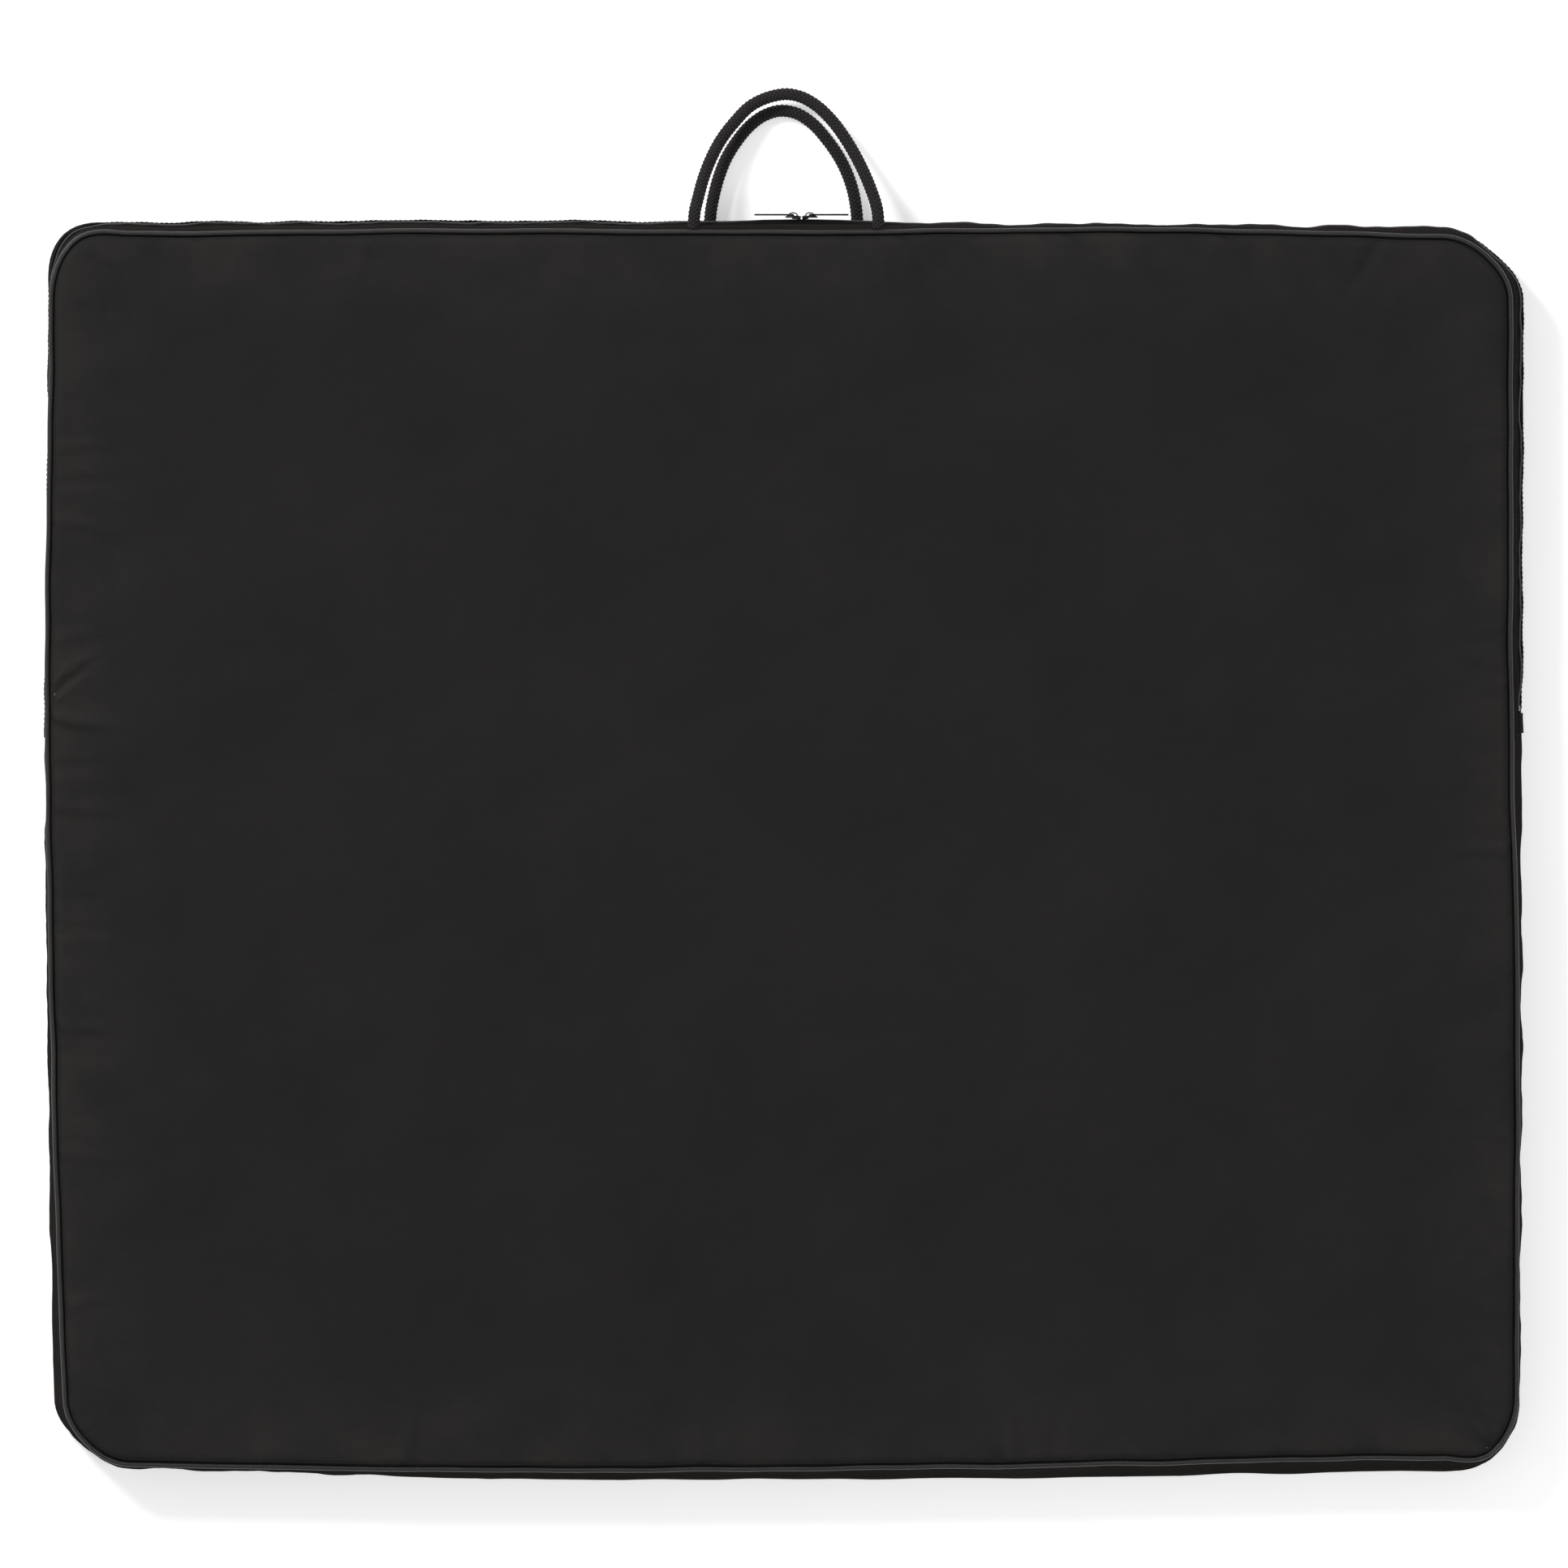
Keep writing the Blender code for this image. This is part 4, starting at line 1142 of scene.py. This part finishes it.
def add_plate(shape, outline, low, high, round_off):
    """A plate in the X-Z plane between two heights along Y, with its edges rounded off."""
    levels = [(round_off, low), (0.3 * round_off, low + 0.3 * round_off), (0, low + round_off),
              (0, high - round_off), (0.3 * round_off, high - 0.3 * round_off), (round_off, high)]
    rings = []
    for distance, y in levels:
        ring = shrunk(outline, distance)
        rings.append(np.column_stack([ring[:, 0], np.full(len(ring), y), ring[:, 1]]))
    count = len(outline)
    steps = grid_steps(len(levels), count, False, True)
    faces = steps[..., 0] * count + steps[..., 1] % count
    ends = np.array([np.arange(count)[::-1], np.arange((len(levels) - 1) * count, len(levels) * count)])
    return shape.add(np.concatenate(rings), (faces, None), (ends, None))


def make_slider(word, x, mouth):
    """A zip slider: two plates with turned-in lips, the post between them and an arched bridge."""
    low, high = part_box(f"{word}_slider")
    length, width = (high.x - low.x) / 2, (high.z - low.z) / 2
    inner = (low.y, low.y + SLIDER_PLATE)
    outer = (SLIDER_OUTER_Y, SLIDER_OUTER_Y + SLIDER_PLATE)
    corners = [(-length, -0.70 * width), (-0.2 * length, -width), (length, -width),
               (length, width), (-0.2 * length, width), (-length, 0.70 * width)]
    outline = rounded_outline([(x + mouth * a, MIDDLE_Z + b) for a, b in corners], 0.0011)
    shape = Shape()
    for bottom, top in (inner, outer):
        add_plate(shape, outline, bottom, top, 0.0003)
    raised = shrunk(outline, 0.0013)
    add_plate(shape, raised, outer[1] - 0.0002, outer[1] + 0.0004, 0.0002)
    for side in (-1, 1):
        z = MIDDLE_Z + side * (width - 0.0005)
        lip = rounded_outline([(x - 0.15 * length, z - 0.0005), (x + 0.9 * length * mouth, z - 0.0005),
                               (x + 0.9 * length * mouth, z + 0.0005),
                               (x - 0.15 * length, z + 0.0005)], 0.0002)
        add_plate(shape, lip, outer[0] - 0.0009, outer[0] + 0.0003, 0.0001)
        add_plate(shape, lip, inner[1] - 0.0003, inner[1] + 0.0003, 0.0001)
    middle = x + mouth * 0.7 * length
    post = rounded_outline([(middle - 0.0014, MIDDLE_Z - 0.0003), (middle + 0.0014, MIDDLE_Z - 0.0003),
                            (middle + 0.0014, MIDDLE_Z + 0.0003),
                            (middle - 0.0014, MIDDLE_Z + 0.0003)], 0.0001)
    add_plate(shape, post, inner[1] - 0.0003, outer[0] + 0.0003, 0.0001)
    turn = np.linspace(0, math.pi, 21)
    foot = outer[1] - 0.0003
    arch = np.column_stack([x - 0.0031 * np.cos(turn),
                            foot + (high.y - 0.00045 - foot) * np.sin(turn) ** 0.7, np.full(21, MIDDLE_Z)])
    arch_up = np.tile([0.0, 0.0, 1.0], (21, 1))
    arch_out = unit(np.cross(np.gradient(arch, axis=0), arch_up))
    sweep(shape, arch, arch_up, arch_out, 0.00105, 12, flat=0.43)
    on_body(shape.piece(f"{word}_slider_body", METAL, 30), f"{word}_slider", "zip_metal", f"{word}_slider")


def make_pull_tab(word, x, direction):
    """A flat pull tab: a frame whose end bar turns under the bridge, and a grip with a sunk panel."""
    low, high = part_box(f"{word}_pull_tab")
    width, height = (high.z - low.z) / 2, (high.y - low.y) / 2
    length = (high.x - low.x) - TAB_BAR / 2
    corners = [(-TAB_BAR / 2, -width), (0.55 * length, -0.80 * width), (length, -width), (length, width),
               (0.55 * length, 0.80 * width), (-TAB_BAR / 2, width)]
    outer = rounded_outline(corners, 0.0014, 7)
    middle = TAB_BAR / 2 + TAB_WINDOW / 2
    reach = np.array([TAB_WINDOW / 2, width - TAB_RAIL])
    ray = outer - (middle, 0.0)
    window = (middle, 0.0) + ray / np.max(np.abs(ray) / reach, axis=1)[:, None]
    edge = 0.0002
    section = [(0, edge - height), (0, height - edge), (0.02, height), (0.14, height), (0.20, height - edge),
               (0.62, height - edge), (0.70, height), (0.97, height), (1, height - edge), (1, edge - height),
               (0.97, -height), (0.02, -height)]
    grid = np.zeros((len(outer), len(section), 3))
    for k, (share, y) in enumerate(section):
        flat = outer * (1 - share) + window * share
        grid[:, k] = np.column_stack([x + direction * flat[:, 0], np.full(len(outer), TAB_PIVOT_Y + y),
                                      MIDDLE_Z + flat[:, 1]])
    steps = grid_steps(len(outer), len(section), True, True)
    faces = (steps[..., 0] % len(outer)) * len(section) + steps[..., 1] % len(section)
    piece = Shape().add(grid, (faces, None)).piece(f"{word}_pull_tab_plate", METAL, 30)
    on_body(piece, f"{word}_pull_tab", "zip_metal", f"{word}_pull_tab")


# ---------------------------------------------------------------- stage

def make_stage():
    """A white floor, a pale surround, soft lights from above, and a camera that looks straight down."""
    nodes = Nodes("studio_white")
    place = nodes.add("ShaderNodeTexCoord", "Object", {})
    tone = nodes.mix(nodes.noise(place, 1.2), (0.90, 0.90, 0.90), (0.93, 0.93, 0.93))
    white = nodes.finish(Base_Color=tone, Roughness=0.9, Specular_IOR_Level=0.1,
                         Emission_Color=(1.0, 1.0, 1.0, 1.0), Emission_Strength=FLOOR_GLOW)
    half = FLOOR_REACH
    corners = np.array([(-half, -half, 0), (half, -half, 0), (half, half, 0), (-half, half, 0)], float)
    floor = Shape().add(corners - (0, 0, 0.0002), (np.array([[0, 1, 2, 3]]), None)).piece("floor", white)

    world = bpy.data.worlds.new("surround")
    world.use_nodes = True
    tree = world.node_tree
    direction = tree.nodes.new("ShaderNodeTexCoord")
    axes = tree.nodes.new("ShaderNodeSeparateXYZ")
    ramp = tree.nodes.new("ShaderNodeMapRange")
    for key, value in {"From Max": 0.8, "To Min": HORIZON_LIGHT, "To Max": ZENITH_LIGHT}.items():
        ramp.inputs[key].default_value = value
    tree.links.new(direction.outputs["Generated"], axes.inputs[0])
    tree.links.new(axes.outputs[2], ramp.inputs["Value"])
    tree.links.new(ramp.outputs[0], tree.nodes["Background"].inputs["Strength"])
    tree.nodes["Background"].inputs["Color"].default_value = (1.0, 1.0, 1.0, 1.0)
    bpy.context.scene.world = world
    bpy.context.scene.view_settings.view_transform = "Standard"
    for name, place, size, power in LIGHTS:
        light = bpy.data.lights.new(name, "AREA")
        light.shape = "DISK"
        light.size = size
        light.energy = power
        lamp = bpy.data.objects.new(name, light)
        lamp.location = place
        lamp.rotation_euler = Vector(place).to_track_quat("Z", "Y").to_euler()
        lamp.visible_camera = False
        bpy.context.scene.collection.objects.link(lamp)

    camera = bpy.data.cameras.new("camera")
    camera.sensor_width = SENSOR_MM
    camera.lens = SENSOR_MM * CAMERA_DISTANCE / VIEW_WIDTH
    camera.clip_end = 2 * CAMERA_DISTANCE
    eye = bpy.data.objects.new("camera", camera)
    eye.location = (*CAMERA_CENTRE, DEPTH + CAMERA_DISTANCE)
    bpy.context.scene.collection.objects.link(eye)
    bpy.context.scene.camera = eye


make_stage()
make_rope("front", FRONT_ROUTE_MM, FRONT_HANDLE_Z)
make_rope("rear", REAR_ROUTE_MM, REAR_HANDLE_Z)
make_front_cover()
make_back_cover()
make_fillings()
make_bindings()
over_fold(make_welt("front_welt", front_inset, FRONT_WELT_Z, 51), "welt_fabric",
          "front_piping_lower", "flap_piping")
on_body(make_welt("back_welt", back_inset, BACK_WELT_Z, 61), "case", "welt_fabric", "back_piping")
make_gusset()
make_zip()
make_anchors()
for word, direction in (("left", -1), ("right", 1)):
    make_slider(word, SLIDER_XS[word], -direction)
    make_pull_tab(word, SLIDER_XS[word], direction)
